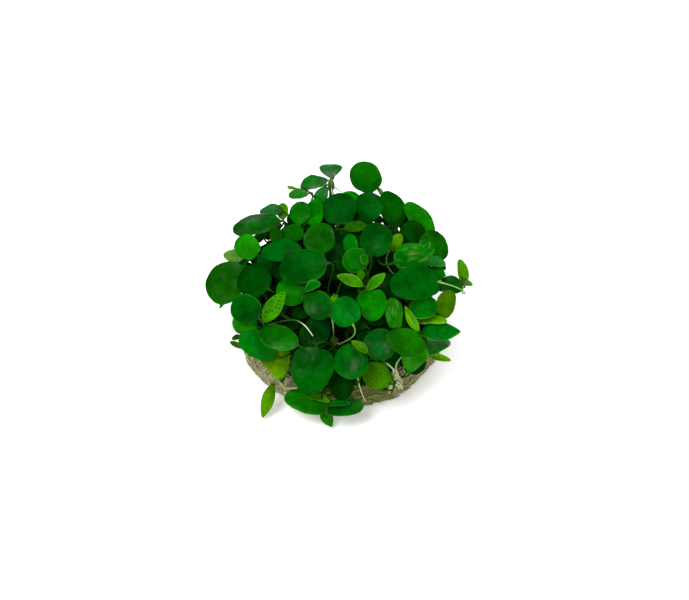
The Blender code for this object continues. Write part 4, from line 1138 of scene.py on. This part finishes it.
def clear_stalk(name, leaf, place, shape, corners, obstacles, tries):
    """A stalk that touches nothing, by the first of many tries, or None."""
    pick = random.Random(name)
    joined = corners != 6
    leave = {name}
    if joined:
        leave |= {leaf.crown} | {root for root, (crown, _) in ROOTS.items() if crown == leaf.crown}
    siblings = {other for other, row in YOUNG.items() if joined and row.crown == leaf.crown}
    blade = BVHTree.FromPolygons(*skin(blade_rings(leaf, place, shape, corners)[1:]))
    for attempt in range(tries):
        loose = attempt * 6 / tries
        turn = pick.uniform(-1, 1) * min(0.25 * loose, MOST_TURN)
        height = pick.uniform(-1, 1) * min(0.4 + 0.4 * loose, YOUNG_CLIMB if joined else GROWN_CLIMB)
        sway = [Vector([pick.uniform(-SWAY, SWAY) * loose for _ in range(3)]) for _ in range(2)]
        controls = stalk_controls(leaf, place, shape, turn, height, sway, joined)
        path = curve_points(controls, 8)
        if max(lift_of(p) for p in path) > lift_of(path[0]) + 0.02 + 0.03 * loose:
            continue
        mesh = stalk_block(place, controls, GAP * 0.8)
        if min(p.z for p in mesh[0]) < 2 * GROUND_CLEARANCE:
            continue
        whole = leaf_block(leaf, place, shape, controls, corners)
        if attempt == tries // 2:
            leave |= siblings
        if obstacles.hit(mesh, leave) or obstacles.hit(whole, leave) or cuts_itself(whole):
            continue
        if not blade.overlap(BVHTree.FromPolygons(*stalk_block(place, controls, 0.1))):
            return controls
    return None


def set_shown(obstacles):
    """The leaves of the picture: blades from the inside outward, slid toward the eye, then stalks."""
    rows = sorted({**GROWN, **YOUNG}.items(), key=lambda item: item[1].lift)
    found = {}
    for index, (name, leaf) in enumerate(rows):
        place = place_in_picture(leaf)
        shape = shape_of(index)
        corners = 6 if name in GROWN else 4
        toward = -sight(leaf.x, leaf.y)
        for step in range(SLIDES):
            moved = place._replace(middle=place.middle + toward * SLIDE * step)
            if clear_blade(leaf, moved, shape, corners, obstacles):
                break
        found[name] = [leaf, moved, shape, corners]
        obstacles.add(skin(blade_rings(leaf, moved, shape, corners)), name)
    for name, row in sorted(found.items(), key=lambda item: item[0] in GROWN):
        controls = clear_stalk(name, *row, obstacles, SHOWN_TRIES)
        if controls is None:
            raise RuntimeError(name + " has no clear way for its stalk")
        row.append(controls)
        obstacles.add(leaf_block(*row[:3], controls, row[3]), name)
    return found


def with_stalk(name, leaf, place, shape, corners, obstacles):
    """A leaf with a stalk, kept if its blade and its stalk both have room, or None."""
    if not clear_blade(leaf, place, shape, corners, obstacles):
        return None
    controls = clear_stalk(name, leaf, place, shape, corners, obstacles, HIDDEN_TRIES)
    if not controls:
        return None
    obstacles.add(leaf_block(leaf, place, shape, controls, corners), name)
    return [leaf, place, shape, corners, controls]


def set_inner(obstacles):
    """The leaves between the others, moved about and made smaller until each has room."""
    found = {}
    for index, (name, leaf) in enumerate(INNER.items()):
        shape = shape_of(100 + index)
        pick = random.Random(name)
        for attempt in range(INNER_MOVES):
            loose = attempt / INNER_MOVES
            moved = leaf._replace(
                x=leaf.x + pick.uniform(-INNER_DRIFT, INNER_DRIFT) * loose,
                y=leaf.y + pick.uniform(-INNER_DRIFT, INNER_DRIFT) * loose,
                lift=leaf.lift + pick.uniform(*INNER_SINK) * loose,
                length=leaf.length * (1 - INNER_SHRINK * loose),
                width=leaf.width * (1 - INNER_SHRINK * loose),
                tip=leaf.tip + pick.uniform(-180, 180) * loose,
            )
            whole = with_stalk(name, moved, place_in_picture(moved), shape, 4, obstacles)
            if whole:
                found[name] = whole
                break
    return found


def at_bearing(out, rise, share):
    """A point of the dome, scaled by a share, out along a level way and up by an angle."""
    point = out * DOME_RADIUS * math.cos(rise) * share
    point.z = DOME_WAIST + DOME_RISE * math.sin(rise) * share
    return point


def leaning(middle, out, lean, swing):
    """The place of a blade that faces out and up by its lean, its tip swung from straight down."""
    face = (out * math.cos(lean) + Vector((0, 0, math.sin(lean)))).normalized()
    level = Vector((0, 0, 1)).cross(face).normalized()
    tip = math.sin(swing) * level - math.cos(swing) * face.cross(level)
    return Place(middle, tip, face.cross(tip), face)


def set_hidden(obstacles):
    """The leaves of the far side and of the inside, each where there is room for its blade and its stalk."""
    found = {}
    for row, (lift, height, bearings) in enumerate(HIDDEN_ROWS):
        for bearing in bearings:
            name = f"hidden_{row + 1}_{bearing:03d}"
            pick = random.Random(name)
            for attempt in range(HIDDEN_MOVES):
                loose = 1 + 3 * attempt / HIDDEN_MOVES
                angle = math.radians(bearing + pick.uniform(-5, 5) * loose)
                rise = math.asin(min(height + pick.uniform(-0.05, 0.05) * loose, 0.98))
                out = Vector((math.cos(angle), math.sin(angle), 0))
                middle = at_bearing(out, rise, lift * (1 + pick.uniform(-0.03, 0.02) * loose))
                lean = rise + math.radians(pick.uniform(*HIDDEN_LEAN))
                place = leaning(middle, out, lean, math.radians(pick.uniform(*HIDDEN_SWING)))
                length = pick.uniform(*HIDDEN_LENGTH) * (1 - attempt / HIDDEN_SHRINK)
                near = min(CROWNS, key=lambda crown: (CROWNS[crown] + out * 3 - middle).length)
                tone = pick.choice(HIDDEN_TONES)
                width = length * pick.uniform(*HIDDEN_WIDTH)
                leaf = Leaf(near, 0, 0, lift, length, width, 0, 0, 0, "round", tone)
                whole = with_stalk(name, leaf, place, shape_of(200 + 20 * row + bearing // 20), 3, obstacles)
                if whole:
                    found[name] = whole
                    break
    return found


# Small leaves half hidden behind those of the picture: their places in it, how far out they are, and the
# way of their tips. Each starts at the first size and lean, and with every try it shrinks, sinks inward and
# drifts a little more
BEHIND = (
    (290, 219, 0.90, 100), (296, 229, 0.86, 60), (305, 224, 0.90, 130), (338, 249, 0.86, 80),
    (359, 243, 0.88, 100), (412, 222, 0.95, 70), (401, 229, 0.90, 20), (412, 233, 0.92, 160),
    (244, 265, 0.92, 150), (323, 222, 0.92, 90), (382, 217, 0.94, 90), (392, 226, 0.92, 60),
    (330, 395, 0.90, -90), (357, 377, 0.86, -60), (388, 352, 0.86, 0), (322, 350, 0.80, 90),
    (300, 345, 0.80, 60), (262, 258, 0.84, 120), (285, 270, 0.84, 160),
)
BEHIND_TRIES = 260
BEHIND_SIZE = 8.0
BEHIND_LEAN = 20
BEHIND_SHRINK = 0.021
BEHIND_SINK = 0.0015
BEHIND_DRIFT = 0.02
BEHIND_SWAY = 30
# Small leaves that fill the clump between and below the others: how far out each layer lies, how many tries
# it gets, and its longest and shortest leaf
UNDER_LAYERS = ((0.90, 260, 7.5, 4.4), (0.82, 300, 8.0, 4.6), (0.73, 260, 8.0, 4.6))
# Toward the clump's left and right none of them stands lower than its waist, unless it is as far back as
# this, so that the pad's rim stays in sight there
UNDER_SIDE = 0.85
UNDER_WAIST = 18.0
UNDER_BACK = 12.0
# The lowest and the highest that they stand, as the sine of their rise. At the back the lowest is as far
# below the waist. Then how much a layer spreads, and how far in those at the sides stand
UNDER_LOWEST = 0.12
UNDER_HIGHEST = 0.97
UNDER_SPREAD = 0.04
UNDER_INSET = 0.94
# How they differ: their lean, their turn and their tips' swing in degrees, and their width as a share of
# their length
UNDER_LEAN = (-25, 45)
UNDER_TURN = (-30, 30)
UNDER_SWING = (-110, 110)
UNDER_WIDTH = (0.78, 0.96)


def stalk_down(place, base):
    """The four control points of a hidden leaf's stalk, which runs down and inward into the thicket."""
    end = Vector((base.x * 0.55, base.y * 0.55, 0))
    end.z = max(pad_top(end.x, end.y) - 2.0, base.z * 0.35)
    reach = (end - base).length
    return base, base - place.tip * reach * 0.25, end + Vector((0, 0, reach * 0.3)), end


def small_leaf(leaf, place, shape, obstacles):
    """A small leaf with the stalk that it has in the thicket, kept if its blade has room, or None."""
    if not clear_blade(leaf, place, shape, 3, obstacles):
        return None
    obstacles.add(skin(blade_rings(leaf, place, shape, 3)), "under")
    return leaf, place, shape, stalk_down(place, blade_point(leaf, place, shape, 0, 0))


def set_behind(obstacles):
    """The half-hidden leaves, each moved inward along its line of sight and shrunk until it has room."""
    found = []
    for index, (x, y, lift, tip) in enumerate(BEHIND):
        pick = random.Random(f"behind {index}")
        for attempt in range(BEHIND_TRIES):
            size = BEHIND_SIZE - BEHIND_SHRINK * attempt
            turned = tip + pick.uniform(-1, 1) * attempt
            lean = BEHIND_LEAN + pick.uniform(-1, 1) * min(attempt, BEHIND_SWAY)
            across = x + pick.uniform(-1, 1) * BEHIND_DRIFT * attempt
            down = y + pick.uniform(-1, 1) * BEHIND_DRIFT * attempt
            moved = lift - BEHIND_SINK * attempt
            leaf = Leaf("", across, down, moved, size, size * 0.86, turned, 0, lean, "round", "dim")
            small = small_leaf(leaf, place_in_picture(leaf), shape_of(2000 + index), obstacles)
            if small:
                found.append(small)
                break
    return found


def set_under(obstacles):
    """The small leaves of the inside, wherever one has room, on stalks that run down into the thicket."""
    found = []
    pick = random.Random("under")
    for lift, tries, longest, shortest in UNDER_LAYERS:
        for attempt in range(tries):
            bearing = pick.uniform(0, 2 * math.pi)
            aside = abs(math.cos(bearing)) > UNDER_SIDE
            lowest = UNDER_LOWEST if math.sin(bearing) < 0.1 or aside else -UNDER_LOWEST
            rise = math.asin(pick.uniform(lowest, UNDER_HIGHEST))
            out = Vector((math.cos(bearing), math.sin(bearing), 0))
            share = lift + pick.uniform(-UNDER_SPREAD, UNDER_SPREAD)
            middle = at_bearing(out, rise, share * (UNDER_INSET if aside else 1.0))
            if aside and middle.z < UNDER_WAIST and middle.y < UNDER_BACK:
                continue
            lean = rise + math.radians(pick.uniform(*UNDER_LEAN))
            turned = Matrix.Rotation(math.radians(pick.uniform(*UNDER_TURN)), 3, "Z") @ out
            place = leaning(middle, turned, lean, math.radians(pick.uniform(*UNDER_SWING)))
            length = longest + (shortest - longest) * attempt / tries
            width = length * pick.uniform(*UNDER_WIDTH)
            leaf = Leaf("", 0, 0, lift, length, width, 0, 0, 0, "round", "shade")
            small = small_leaf(leaf, place, shape_of(1000 + attempt), obstacles)
            if small:
                found.append(small)
    return found


room = Obstacles()
room.add(skin(pad_rings(PAD_PROFILE, PAD_SIDES)), "pad")
for crown_name in CROWNS:
    room.add(crown_block(crown_name), crown_name)
for root_name in ROOTS:
    room.add(skin(root_rings(root_name, 2, 3, ROOT_RADIUS)), root_name)
leaves = {**set_shown(room), **set_inner(room), **set_hidden(room)}
under_leaves = set_behind(room) + set_under(room)

# The leaf's own fine form: a thin blade that is a little uneven in outline, dented, creased along its
# midrib and bent at its rim, with its two sides drawn back at the stalk
FINE_ACROSS = 22
FINE_ALONG = 26
FINE_STALK = 14
# The same for a small leaf inside the clump
SMALL_ACROSS = 6
SMALL_ALONG = 7
SMALL_STALK = 4
# How near the tip the last ring lies, and up to which share of the length the stalk thickens the blade and
# its sides are drawn back
LAST_RING = 0.985
STALK_MEETS = 0.12
LOBE_REACH = 0.42
LEAF_THICKNESS = 0.38
TRUE_STALK = 0.25
# How wide the pale rim is, how wide the uneven one, and how wide the curled one
RIM_BAND = 0.50
FADE_BAND = 0.9
CURL_BAND = 1.5
# Ribs on each side of the midrib and their height
RIBS = 3
RIB_HEIGHT = 0.010
# How much leaves differ: how far a blade is drawn back at its stalk as a share of its length, how lopsided
# it is, how it is creased along its midrib, how its rim curls, and how pale the rim is
LOBES = (0.01, 0.06)
LOPSIDED = (-0.07, 0.07)
CREASES = (-0.04, 0.09)
CURLS = (-0.60, 0.15)
RIMS = (0.05, 0.35)
# How deep dents, bumps and an uneven rim go, and how many of each there are to the millimetre
DENT = 0.62
SWELLING = 0.11
RUFFLE = 0.14
DENTS = 0.20
SWELLINGS = 0.75
RUFFLES = 0.8
# How uneven a blade's outline is, and how often along it and across it
WOBBLE = 0.06
WOBBLES_ALONG = 2.6
WOBBLES_ACROSS = 1.4
# What the finish reads along a stalk: half for a dark one, whole for a pale one
DARK_STALK = 0.5
PALE_STALKS = {
    "broad_right": 1.0, "mid_low": 0.85, "runner_leaf": 0.8, "lime_behind": 0.9, "hanging": 0.8,
    "crest_round": 0.60, "crest_flat": 0.58, "crest_side": 0.58, "crest_upright": 0.58,
}
# The radii of the stalks that differ from the usual one
OWN_STALKS = {"crest_round": 0.62, "broad_right": 0.15, "mid_low": 0.16, "lime_behind": 0.18}
# Leaves whose rim stands out pale, partly with a painted highlight on the edge
RIMMED = {
    "broad_left", "shelf_left", "front_round", "mid_left", "pointed", "low_left", "big_left", "crest_round",
    "mid_curl", "curl_ring", "curled_rim", "front_grey", "apron", "right_green", "vee_left", "vee_right",
}


def fine_leaf(leaf, place, shape, controls, seed, wide=FINE_ACROSS, long=FINE_ALONG, down=FINE_STALK):
    """A whole leaf, and for each of its points what its finish reads: u, v, stalk, rim and under."""
    pick = random.Random(seed)
    pale = PALE_STALKS.get(seed, DARK_STALK)
    drift = Vector([pick.uniform(-50, 50) for _ in range(3)])
    lobe = leaf.length * (pick.uniform(*LOBES) if leaf.form in ("round", "fan") else 0.0)
    uneven = pick.uniform(*LOPSIDED)
    crease = pick.uniform(*CREASES)
    curl = pick.uniform(*CURLS)
    rimmed = 1.0 if seed in RIMMED else pick.uniform(*RIMS)
    # The stalk, from inside its crown to the blade, a little thicker at its start
    path = curve_points(controls, down)[:0:-1]
    if leaf.crown:
        path.insert(0, controls[3].lerp(CROWNS[leaf.crown], 0.7))
    stout = OWN_STALKS.get(seed, TRUE_STALK)
    radii = [stout * (1.0 + 0.3 * max(0.0, 1 - 5 * i / len(path))) for i in range(len(path))]
    turn = place.tip.rotation_difference((path[-1] - path[-2]).normalized())
    rings = tube_rings(path[::-1], radii[::-1], turn @ place.side, turn @ place.face, 2 * wide)[::-1]
    marks = [(0.0, 0.0, pale, 0.0, 0.0)] * (2 * wide * len(path))
    # The blade, ring by ring from its base to its tip
    for i in range(long):
        u = 0.5 - 0.5 * math.cos(math.pi * LAST_RING * i / long)
        half = half_width(leaf, u)
        near = min(u / LOBE_REACH, 1.0)
        drawn = lobe * 27 / 4 * near * (1 - near) ** 2
        top = []
        low = []
        for k in range(wide + 1):
            v = math.sin(math.pi / 2 * (1 - 2 * k / wide))
            wobble = WOBBLE * noise.noise(Vector((WOBBLES_ALONG * u, WOBBLES_ACROSS * v, 0)) + drift)
            point = blade_point(leaf, place, shape, u, v * (1 + uneven * v * math.sin(math.pi * u) + wobble))
            flat = point - place.middle
            local = Vector((flat.dot(place.tip), flat.dot(place.side), 0))
            rim_gap = min(half * (1 - abs(v)), leaf.length * (1 - u) * 0.9)
            fade = min(rim_gap / FADE_BAND, 1.0)
            # Ribs, dents, bumps, an uneven rim, the crease and the rim's curl lift the surface or sink it
            rise = RIB_HEIGHT * math.cos(2 * math.pi * RIBS * abs(v)) * fade
            bumps = SWELLING * noise.noise(local * SWELLINGS + drift)
            rise += DENT * noise.noise(local * DENTS + drift) + bumps
            rise += RUFFLE * noise.noise(local * RUFFLES - drift) * (1 - fade)
            rise += crease * half * abs(v) * math.sin(math.pi * min(u * 1.2, 1.0))
            rise += curl * max(0.0, 1 - rim_gap / CURL_BAND) ** 2 * min(u / 0.25, 1.0)
            middle = point + place.face * rise - place.tip * drawn * abs(v) ** 1.5
            # The blade is thin at its rim and as thick as its stalk where they meet
            edge = max(abs(v) ** 5, abs(2 * u - 1) ** 9 if u > 0.5 else 0.0)
            thick = LEAF_THICKNESS / 2 * math.sqrt(max(1 - edge, 0.0))
            if u < STALK_MEETS:
                thick += (TRUE_STALK - thick) * (1 - u / STALK_MEETS) ** 2 * math.sqrt(max(1 - v * v, 0.0))
            rim = rimmed * max(0.0, 1 - rim_gap / RIM_BAND)
            into_stalk = pale * max(0.0, 1 - u / 0.10) * max(0.0, 1 - half * abs(v) / 0.9)
            top.append((middle + place.face * thick, (u, v, into_stalk, rim, 0.0)))
            low.append((middle - place.face * thick, (u, v, into_stalk, rim, 1.0)))
        ring = top + low[-2:0:-1]
        rings.append([point for point, _ in ring])
        marks += [mark for _, mark in ring]
    return skin(rings), marks


def leaf_mesh(name, parts):
    """One mesh of one or more leaves, with the values that their finish reads."""
    mesh = mesh_of(name, *joined(form for (form, _), _, _ in parts))
    marks = [mark for (_, own_marks), _, _ in parts for mark in own_marks]
    for column, title in enumerate(("stalk", "rim", "under"), 2):
        mark_points(mesh, title, [mark[column] for mark in marks])
    mark_points(mesh, "shade", [shade for (_, own_marks), shade, _ in parts for _ in own_marks])
    corners = [marks[loop.vertex_index] for loop in mesh.loops]
    flat = [value for mark in corners for value in (mark[0], mark[1] / 2 + 0.5)]
    mesh.uv_layers.new(name="blade").data.foreach_set("uv", flat)
    tones = [tone for ((_, faces), _), _, tone in parts for _ in faces]
    used = sorted(set(tones))
    for tone in used:
        mesh.materials.append(leaf_material(tone))
    mesh.polygons.foreach_set("material_index", [used.index(tone) for tone in tones])
    return mesh


# What all tones have: the colours of a stalk, a pale stalk, a speck and a patch
SHARED_COLOURS = {
    "Stalk": (0.006, 0.045, 0.001), "Pale Stalk": (0.190, 0.330, 0.100), "Speck": (0.002, 0.045, 0.001),
    "Patch": (0.090, 0.200, 0.040),
}
# What each tone has of its own
OWN_COLOURS = ("Lamina", "Vein", "Underside", "Rim")
OWN_VALUES = ("Veining", "Specks", "Patches", "Gloss", "Film")


def blade_group():
    """What all blades share: faint veins, cloudy variation, specks, patches, the rim and the stalk."""
    tree = bpy.data.node_groups.new("blade finish", "ShaderNodeTree")
    open_sockets(tree, "INPUT", "Color", *OWN_COLOURS, *SHARED_COLOURS)
    open_sockets(tree, "INPUT", "Float", *OWN_VALUES)
    open_sockets(tree, "OUTPUT", "Color", "Color")
    open_sockets(tree, "OUTPUT", "Float", "Roughness", "Height", "Wax")
    given = node(tree, "NodeGroupInput").outputs
    # Where a point lies on its blade, and the clouds that the rest is made of
    on_blade = node(tree, "ShaderNodeUVMap", uv_map="blade")
    u, across, _ = axes_of(tree, on_blade)
    v = number(tree, "ABSOLUTE", number(tree, "MULTIPLY_ADD", across, 2.0, -1.0))
    place = own_place(tree)
    clouds = mottle(tree, place, 170.0, 2.0)
    waves = mottle(tree, place, 900.0, 3.0)
    # Arching veins from the base to the tip, and fainter ones that slant between them
    arch = number(tree, "PINGPONG", number(tree, "MULTIPLY", v, 3.6), 0.5)
    slant = number(tree, "MULTIPLY_ADD", v, 4.0, number(tree, "MULTIPLY_ADD", u, 13.0, clouds))
    cross = between(tree, number(tree, "PINGPONG", slant, 0.5), 0.02, 0.12, 0.45, 0.0)
    veins = number(tree, "MAXIMUM", between(tree, arch, 0.03, 0.16, 1.0, 0.0), cross)
    under = own_value(tree, "under")
    lines = number(tree, "MULTIPLY", veins, number(tree, "MULTIPLY_ADD", under, 0.25, given["Veining"]))
    base = blend_colours(tree, under, given["Lamina"], given["Underside"])
    base = blend_colours(tree, lines, base, given["Vein"])
    # Each leaf's own shade and hue, with lighter and darker clouds over it; the clouds are partly random tone
    # and partly painted light and shade across the blade
    shade = own_value(tree, "shade")
    cloudy = between(tree, clouds, 0.34, 0.66, 0.68, 1.26)
    tone_and_light = number(tree, "MULTIPLY", cloudy, number(tree, "MULTIPLY_ADD", shade, 0.34, 0.83))
    tone_and_light = number(tree, "MULTIPLY", tone_and_light, between(tree, waves, 0.30, 0.70, 0.88, 1.12))
    hue = number(tree, "MULTIPLY_ADD", shade, -0.016, 0.508)
    base = node(tree, "ShaderNodeHueSaturation", {"Color": base, "Value": tone_and_light, "Hue": hue})
    # Dark specks, and pale patches that are partly the leaf's own mottling and partly painted reflection
    dots = node(tree, "ShaderNodeTexVoronoi", {"Vector": place, "Scale": 1100.0}).outputs["Distance"]
    speck = number(tree, "MULTIPLY", between(tree, dots, 0.22, 0.46, 1.0, 0.0), given["Specks"])
    base = blend_colours(tree, speck, base, given["Speck"])
    patchy = mottle(tree, stretched(tree, on_blade, 2.6, 5.0, 1.0), 1.0, 6.0)
    patch = number(tree, "MULTIPLY", between(tree, patchy, 0.47, 0.76), given["Patches"])
    base = blend_colours(tree, patch, base, given["Patch"])
    # The pale rim, partly the leaf's own paler margin and partly a painted highlight where the edge catches
    # the light, broken in places by clouds, and the stalk
    edge = number(tree, "POWER", own_value(tree, "rim"), 1.5)
    patchy_rim = number(tree, "MULTIPLY", edge, between(tree, clouds, 0.36, 0.58, 0.2, 0.9))
    base = blend_colours(tree, patchy_rim, base, given["Rim"])
    stalk = own_value(tree, "stalk")
    base = blend_colours(tree, number(tree, "MULTIPLY", stalk, 2.0, clamp=True), base, given["Stalk"])
    whole = number(tree, "MULTIPLY_ADD", stalk, 2.0, -1.0, clamp=True)
    base = blend_colours(tree, whole, base, given["Pale Stalk"])
    # The roughness, the relief, and the wax or wet film, which lies on the upper side alone
    rough = number(tree, "MULTIPLY_ADD", clouds, 0.16, given["Gloss"])
    rough = number(tree, "MULTIPLY_ADD", under, 0.16, rough)
    pores = number(tree, "MULTIPLY_ADD", mottle(tree, place, 3800.0, 2.0), 0.3, waves)
    height = number(tree, "MULTIPLY_ADD", veins, -0.5, pores)
    films = mottle(tree, place, 150.0, 3.0)
    film = number(tree, "MULTIPLY", between(tree, films, 0.38, 0.60, 0.1, 1.0), given["Film"])
    wax = number(tree, "ADD", between(tree, films, 0.54, 0.72, 0.01, 0.17), film)
    wax = number(tree, "MULTIPLY", wax, number(tree, "SUBTRACT", 1.0, under))
    node(tree, "NodeGroupOutput", {"Color": base, "Roughness": rough, "Height": height, "Wax": wax})
    return tree


BLADES = blade_group()
# Colours of each tone: the blade, its veins, its underside and its rim, then how far the veins show, how
# many specks and patches it has, its roughness, and how much of a wet film lies on it
# The shade and dim tones are darker copies of the deep green, which paint the shade on leaves deep inside the
# clump
TONES = {
    "shade": ((0.0, 0.018, 0.0), (0.0, 0.026, 0.0), (0.001, 0.022, 0.0), (0.002, 0.03, 0.001),
        0.2, 0.0, 0.0, 0.45, 0.0),
    "dim": ((0.0, 0.03, 0.0), (0.0, 0.045, 0.0), (0.002, 0.036, 0.0), (0.006, 0.06, 0.002),
        0.15, 0.0, 0.0, 0.36, 0.0),
    "deep": ((0.0, 0.052, 0.0), (0.0, 0.08, 0.0), (0.004, 0.07, 0.001), (0.014, 0.12, 0.006),
        0.12, 0.0, 0.0, 0.3, 0.0),
    "mid": ((0.0, 0.068, 0.0), (0.001, 0.105, 0.0), (0.008, 0.09, 0.001), (0.03, 0.15, 0.01),
        0.14, 0.0, 0.0, 0.3, 0.0),
    "fresh": ((0.001, 0.105, 0.0), (0.006, 0.15, 0.001), (0.02, 0.13, 0.002), (0.05, 0.19, 0.012),
        0.15, 0.0, 0.0, 0.3, 0.0),
    "young": ((0.014, 0.13, 0.0), (0.05, 0.19, 0.002), (0.04, 0.15, 0.002), (0.09, 0.22, 0.014),
        0.3, 0.0, 0.0, 0.36, 0.0),
    "lime": ((0.062, 0.245, 0.0), (0.12, 0.32, 0.004), (0.08, 0.23, 0.002), (0.15, 0.31, 0.016),
        0.3, 0.1, 0.0, 0.36, 0.0),
    "speckled": ((0.026, 0.165, 0.0), (0.08, 0.25, 0.003), (0.06, 0.19, 0.002), (0.13, 0.28, 0.016),
        0.25, 0.75, 0.0, 0.36, 0.0),
    "golden": ((0.044, 0.158, 0.0), (0.09, 0.2, 0.003), (0.048, 0.162, 0.001), (0.12, 0.17, 0.012),
        0.25, 0.1, 0.0, 0.4, 0.0),
    "moss": ((0.011, 0.08, 0.0), (0.035, 0.11, 0.002), (0.012, 0.08, 0.0), (0.07, 0.13, 0.008),
        0.25, 0.1, 0.0, 0.4, 0.0),
    "wet": ((0.002, 0.094, 0.001), (0.004, 0.13, 0.001), (0.01, 0.11, 0.002), (0.05, 0.17, 0.014),
        0.14, 0.0, 0.0, 0.3, 0.6),
    "glazed": ((0.001, 0.06, 0.001), (0.003, 0.09, 0.001), (0.008, 0.08, 0.002), (0.05, 0.17, 0.014),
        0.14, 0.0, 0.0, 0.3, 0.55),
    "dewy": ((0.01, 0.165, 0.008), (0.014, 0.2, 0.01), (0.02, 0.17, 0.01), (0.06, 0.2, 0.02),
        0.14, 0.0, 0.0, 0.3, 0.6),
    "bright": ((0.008, 0.165, 0.0), (0.03, 0.24, 0.001), (0.03, 0.21, 0.002), (0.08, 0.25, 0.014),
        0.2, 0.0, 0.0, 0.32, 0.0),
    "sprout": ((0.014, 0.05, 0.001), (0.03, 0.07, 0.002), (0.024, 0.045, 0.002), (0.06, 0.08, 0.008),
        0.25, 0.2, 0.0, 0.45, 0.0),
    "olive": ((0.014, 0.085, 0.0), (0.045, 0.125, 0.002), (0.026, 0.1, 0.0), (0.09, 0.15, 0.012),
        0.2, 0.0, 0.0, 0.4, 0.0),
    "pale": ((0.04, 0.16, 0.014), (0.08, 0.2, 0.026), (0.074, 0.2, 0.026), (0.12, 0.23, 0.05),
        0.25, 0.0, 0.3, 0.38, 0.0),
    "mottled": ((0.001, 0.098, 0.0), (0.006, 0.14, 0.001), (0.012, 0.1, 0.004), (0.04, 0.16, 0.014),
        0.15, 0.0, 0.7, 0.3, 0.0),
}


def leaf_material(tone):
    """The finish of one tone of leaf."""
    made = bpy.data.materials.get("leaf " + tone)
    if made:
        return made
    made, tree, shader = new_material("leaf " + tone)
    looks = {**SHARED_COLOURS, **dict(zip(OWN_COLOURS + OWN_VALUES, TONES[tone]))}
    shown, rough, height, wax = node(tree, "ShaderNodeGroup", looks, node_tree=BLADES).outputs
    dress(tree, shader, shown, rough, 0.0, height, 0.4, 0.0001)
    feed(tree, shader.inputs["Coat Weight"], wax)
    shader.inputs["Coat Roughness"].default_value = 0.32
    return made


# The tones that each of the record's finishes covers
SLOTS = {
    "leaf_deep": ("deep", "dim", "shade", "glazed"),
    "leaf_mid": ("mid", "pale", "wet", "dewy"),
    "leaf_fresh": ("fresh", "bright"),
    "leaf_lime": ("lime", "young", "speckled"),
    "leaf_olive": ("olive", "golden", "sprout", "moss"),
    "leaf_mottled": ("mottled",),
}
# Leaves whose finish isn't that of their tone. Moss and gold paint the light that shines through the thin
# ones;
# wet, glazed and dewy are for those on which the sky shows. Several swaps also paint light and shade: lighter
# finishes, such as bright and dewy, on leaves that lie in shadow, and the darker dim and shade deep in the
# clump
FINISHES = {
    "moss": ("mid_olive", "olive_front", "vee_bud"),
    "golden": ("olive_low", "hanging", "fold_front", "crest_edge", "sprout_low"),
    "lime": ("runner_lime", "wing_olive", "right_band", "rolled_right", "apron_lime"),
    "young": ("bud",),
    "bright": ("upper_back", "low_left_under", "yellow_low", "bright_left", "left_strips"),
    "fresh": ("apron", "mid_low", "left_small", "right_green", "mid_small", "edge_under", "pointed",
        "curl_ring", "inner_shade"),
    "mid": ("crest_left", "crest_round"),
    "deep": ("mid_left", "low_left", "broad_left", "left_round", "wing_under", "inner_far"),
    "dim": ("inner_gap", "dark_left", "inner_right", "inner_top", "inner_dark", "inner_hollow"),
    "shade": ("front_dark", "inner_left", "inner_mid", "inner_upper"),
    "glazed": ("wing",),
    "wet": ("crest_flat", "crest_side", "crest_upright", "crest_small", "wing_back", "front_grey"),
    "dewy": ("pointed_under", "edge_grey"),
}
slot_of = {tone: slot for slot, tones in SLOTS.items() for tone in tones}
finish_of = {leaf_name: finish for finish, names in FINISHES.items() for leaf_name in names}
for leaf_name, (row, place, shape, _, controls) in leaves.items():
    tone = finish_of.get(leaf_name, row.tone)
    shade = random.Random("shade " + leaf_name).random()
    made = leaf_mesh(leaf_name, [(fine_leaf(row, place, shape, controls, leaf_name), shade, tone)])
    stands_for = ["leaf_" + leaf_name] if leaf_name in GROWN else []
    piece("frond_" + leaf_name, made, slot_of[tone], *stands_for)

under_parts = []
for index, (row, place, shape, controls) in enumerate(under_leaves):
    form = fine_leaf(row, place, shape, controls, index, SMALL_ACROSS, SMALL_ALONG, SMALL_STALK)
    under_parts.append((form, random.Random(index).random(), row.tone))
piece("under_leaves", leaf_mesh("under_leaves", under_parts), "leaf_deep")

# The floor and the light: a plain pale floor, an even white surround, and one large soft light from above
# on the left
floor_mesh = bpy.data.meshes.new("floor")
floor_mesh.from_pydata([(-3, -3, 0), (3, -3, 0), (3, 3, 0), (-3, 3, 0)], [], [(0, 1, 2, 3)])
floor = bpy.data.objects.new("floor", floor_mesh)
floor.location.z = -0.0001
bpy.context.collection.objects.link(floor)
floor_finish, floor_tree, floor_shader = new_material("floor")
dress(floor_tree, floor_shader, (0.95, 0.95, 0.95), 0.9, 0.5)
feed(floor_tree, floor_shader.inputs["Emission Color"], (1.0, 1.0, 1.0))
floor_shader.inputs["Emission Strength"].default_value = 0.18
floor_mesh.materials.append(floor_finish)


def soft_light(name, place, size, power):
    """A square soft light that faces the clump."""
    data = bpy.data.lights.new(name, "AREA")
    data.size = size
    data.energy = power
    made = bpy.data.objects.new(name, data)
    made.location = place
    made.rotation_euler = (Vector((0, 0, 0.015)) - Vector(place)).to_track_quat("-Z", "Y").to_euler()
    bpy.context.collection.objects.link(made)


soft_light("key", (-0.28, -0.45, 0.70), 0.30, 5.0)
soft_light("top", (0.05, 0.15, 1.20), 1.00, 8.5)
soft_light("fill", (0.40, -0.60, 0.25), 0.6, 3.2)
world = bpy.data.worlds.new("surround")
world.use_nodes = True
sky = world.node_tree.nodes["Background"].inputs
feed(world.node_tree, sky["Color"], (1.0, 1.0, 1.0))
sky["Strength"].default_value = 0.55
bpy.context.scene.world = world
bpy.context.scene.view_settings.view_transform = "Standard"
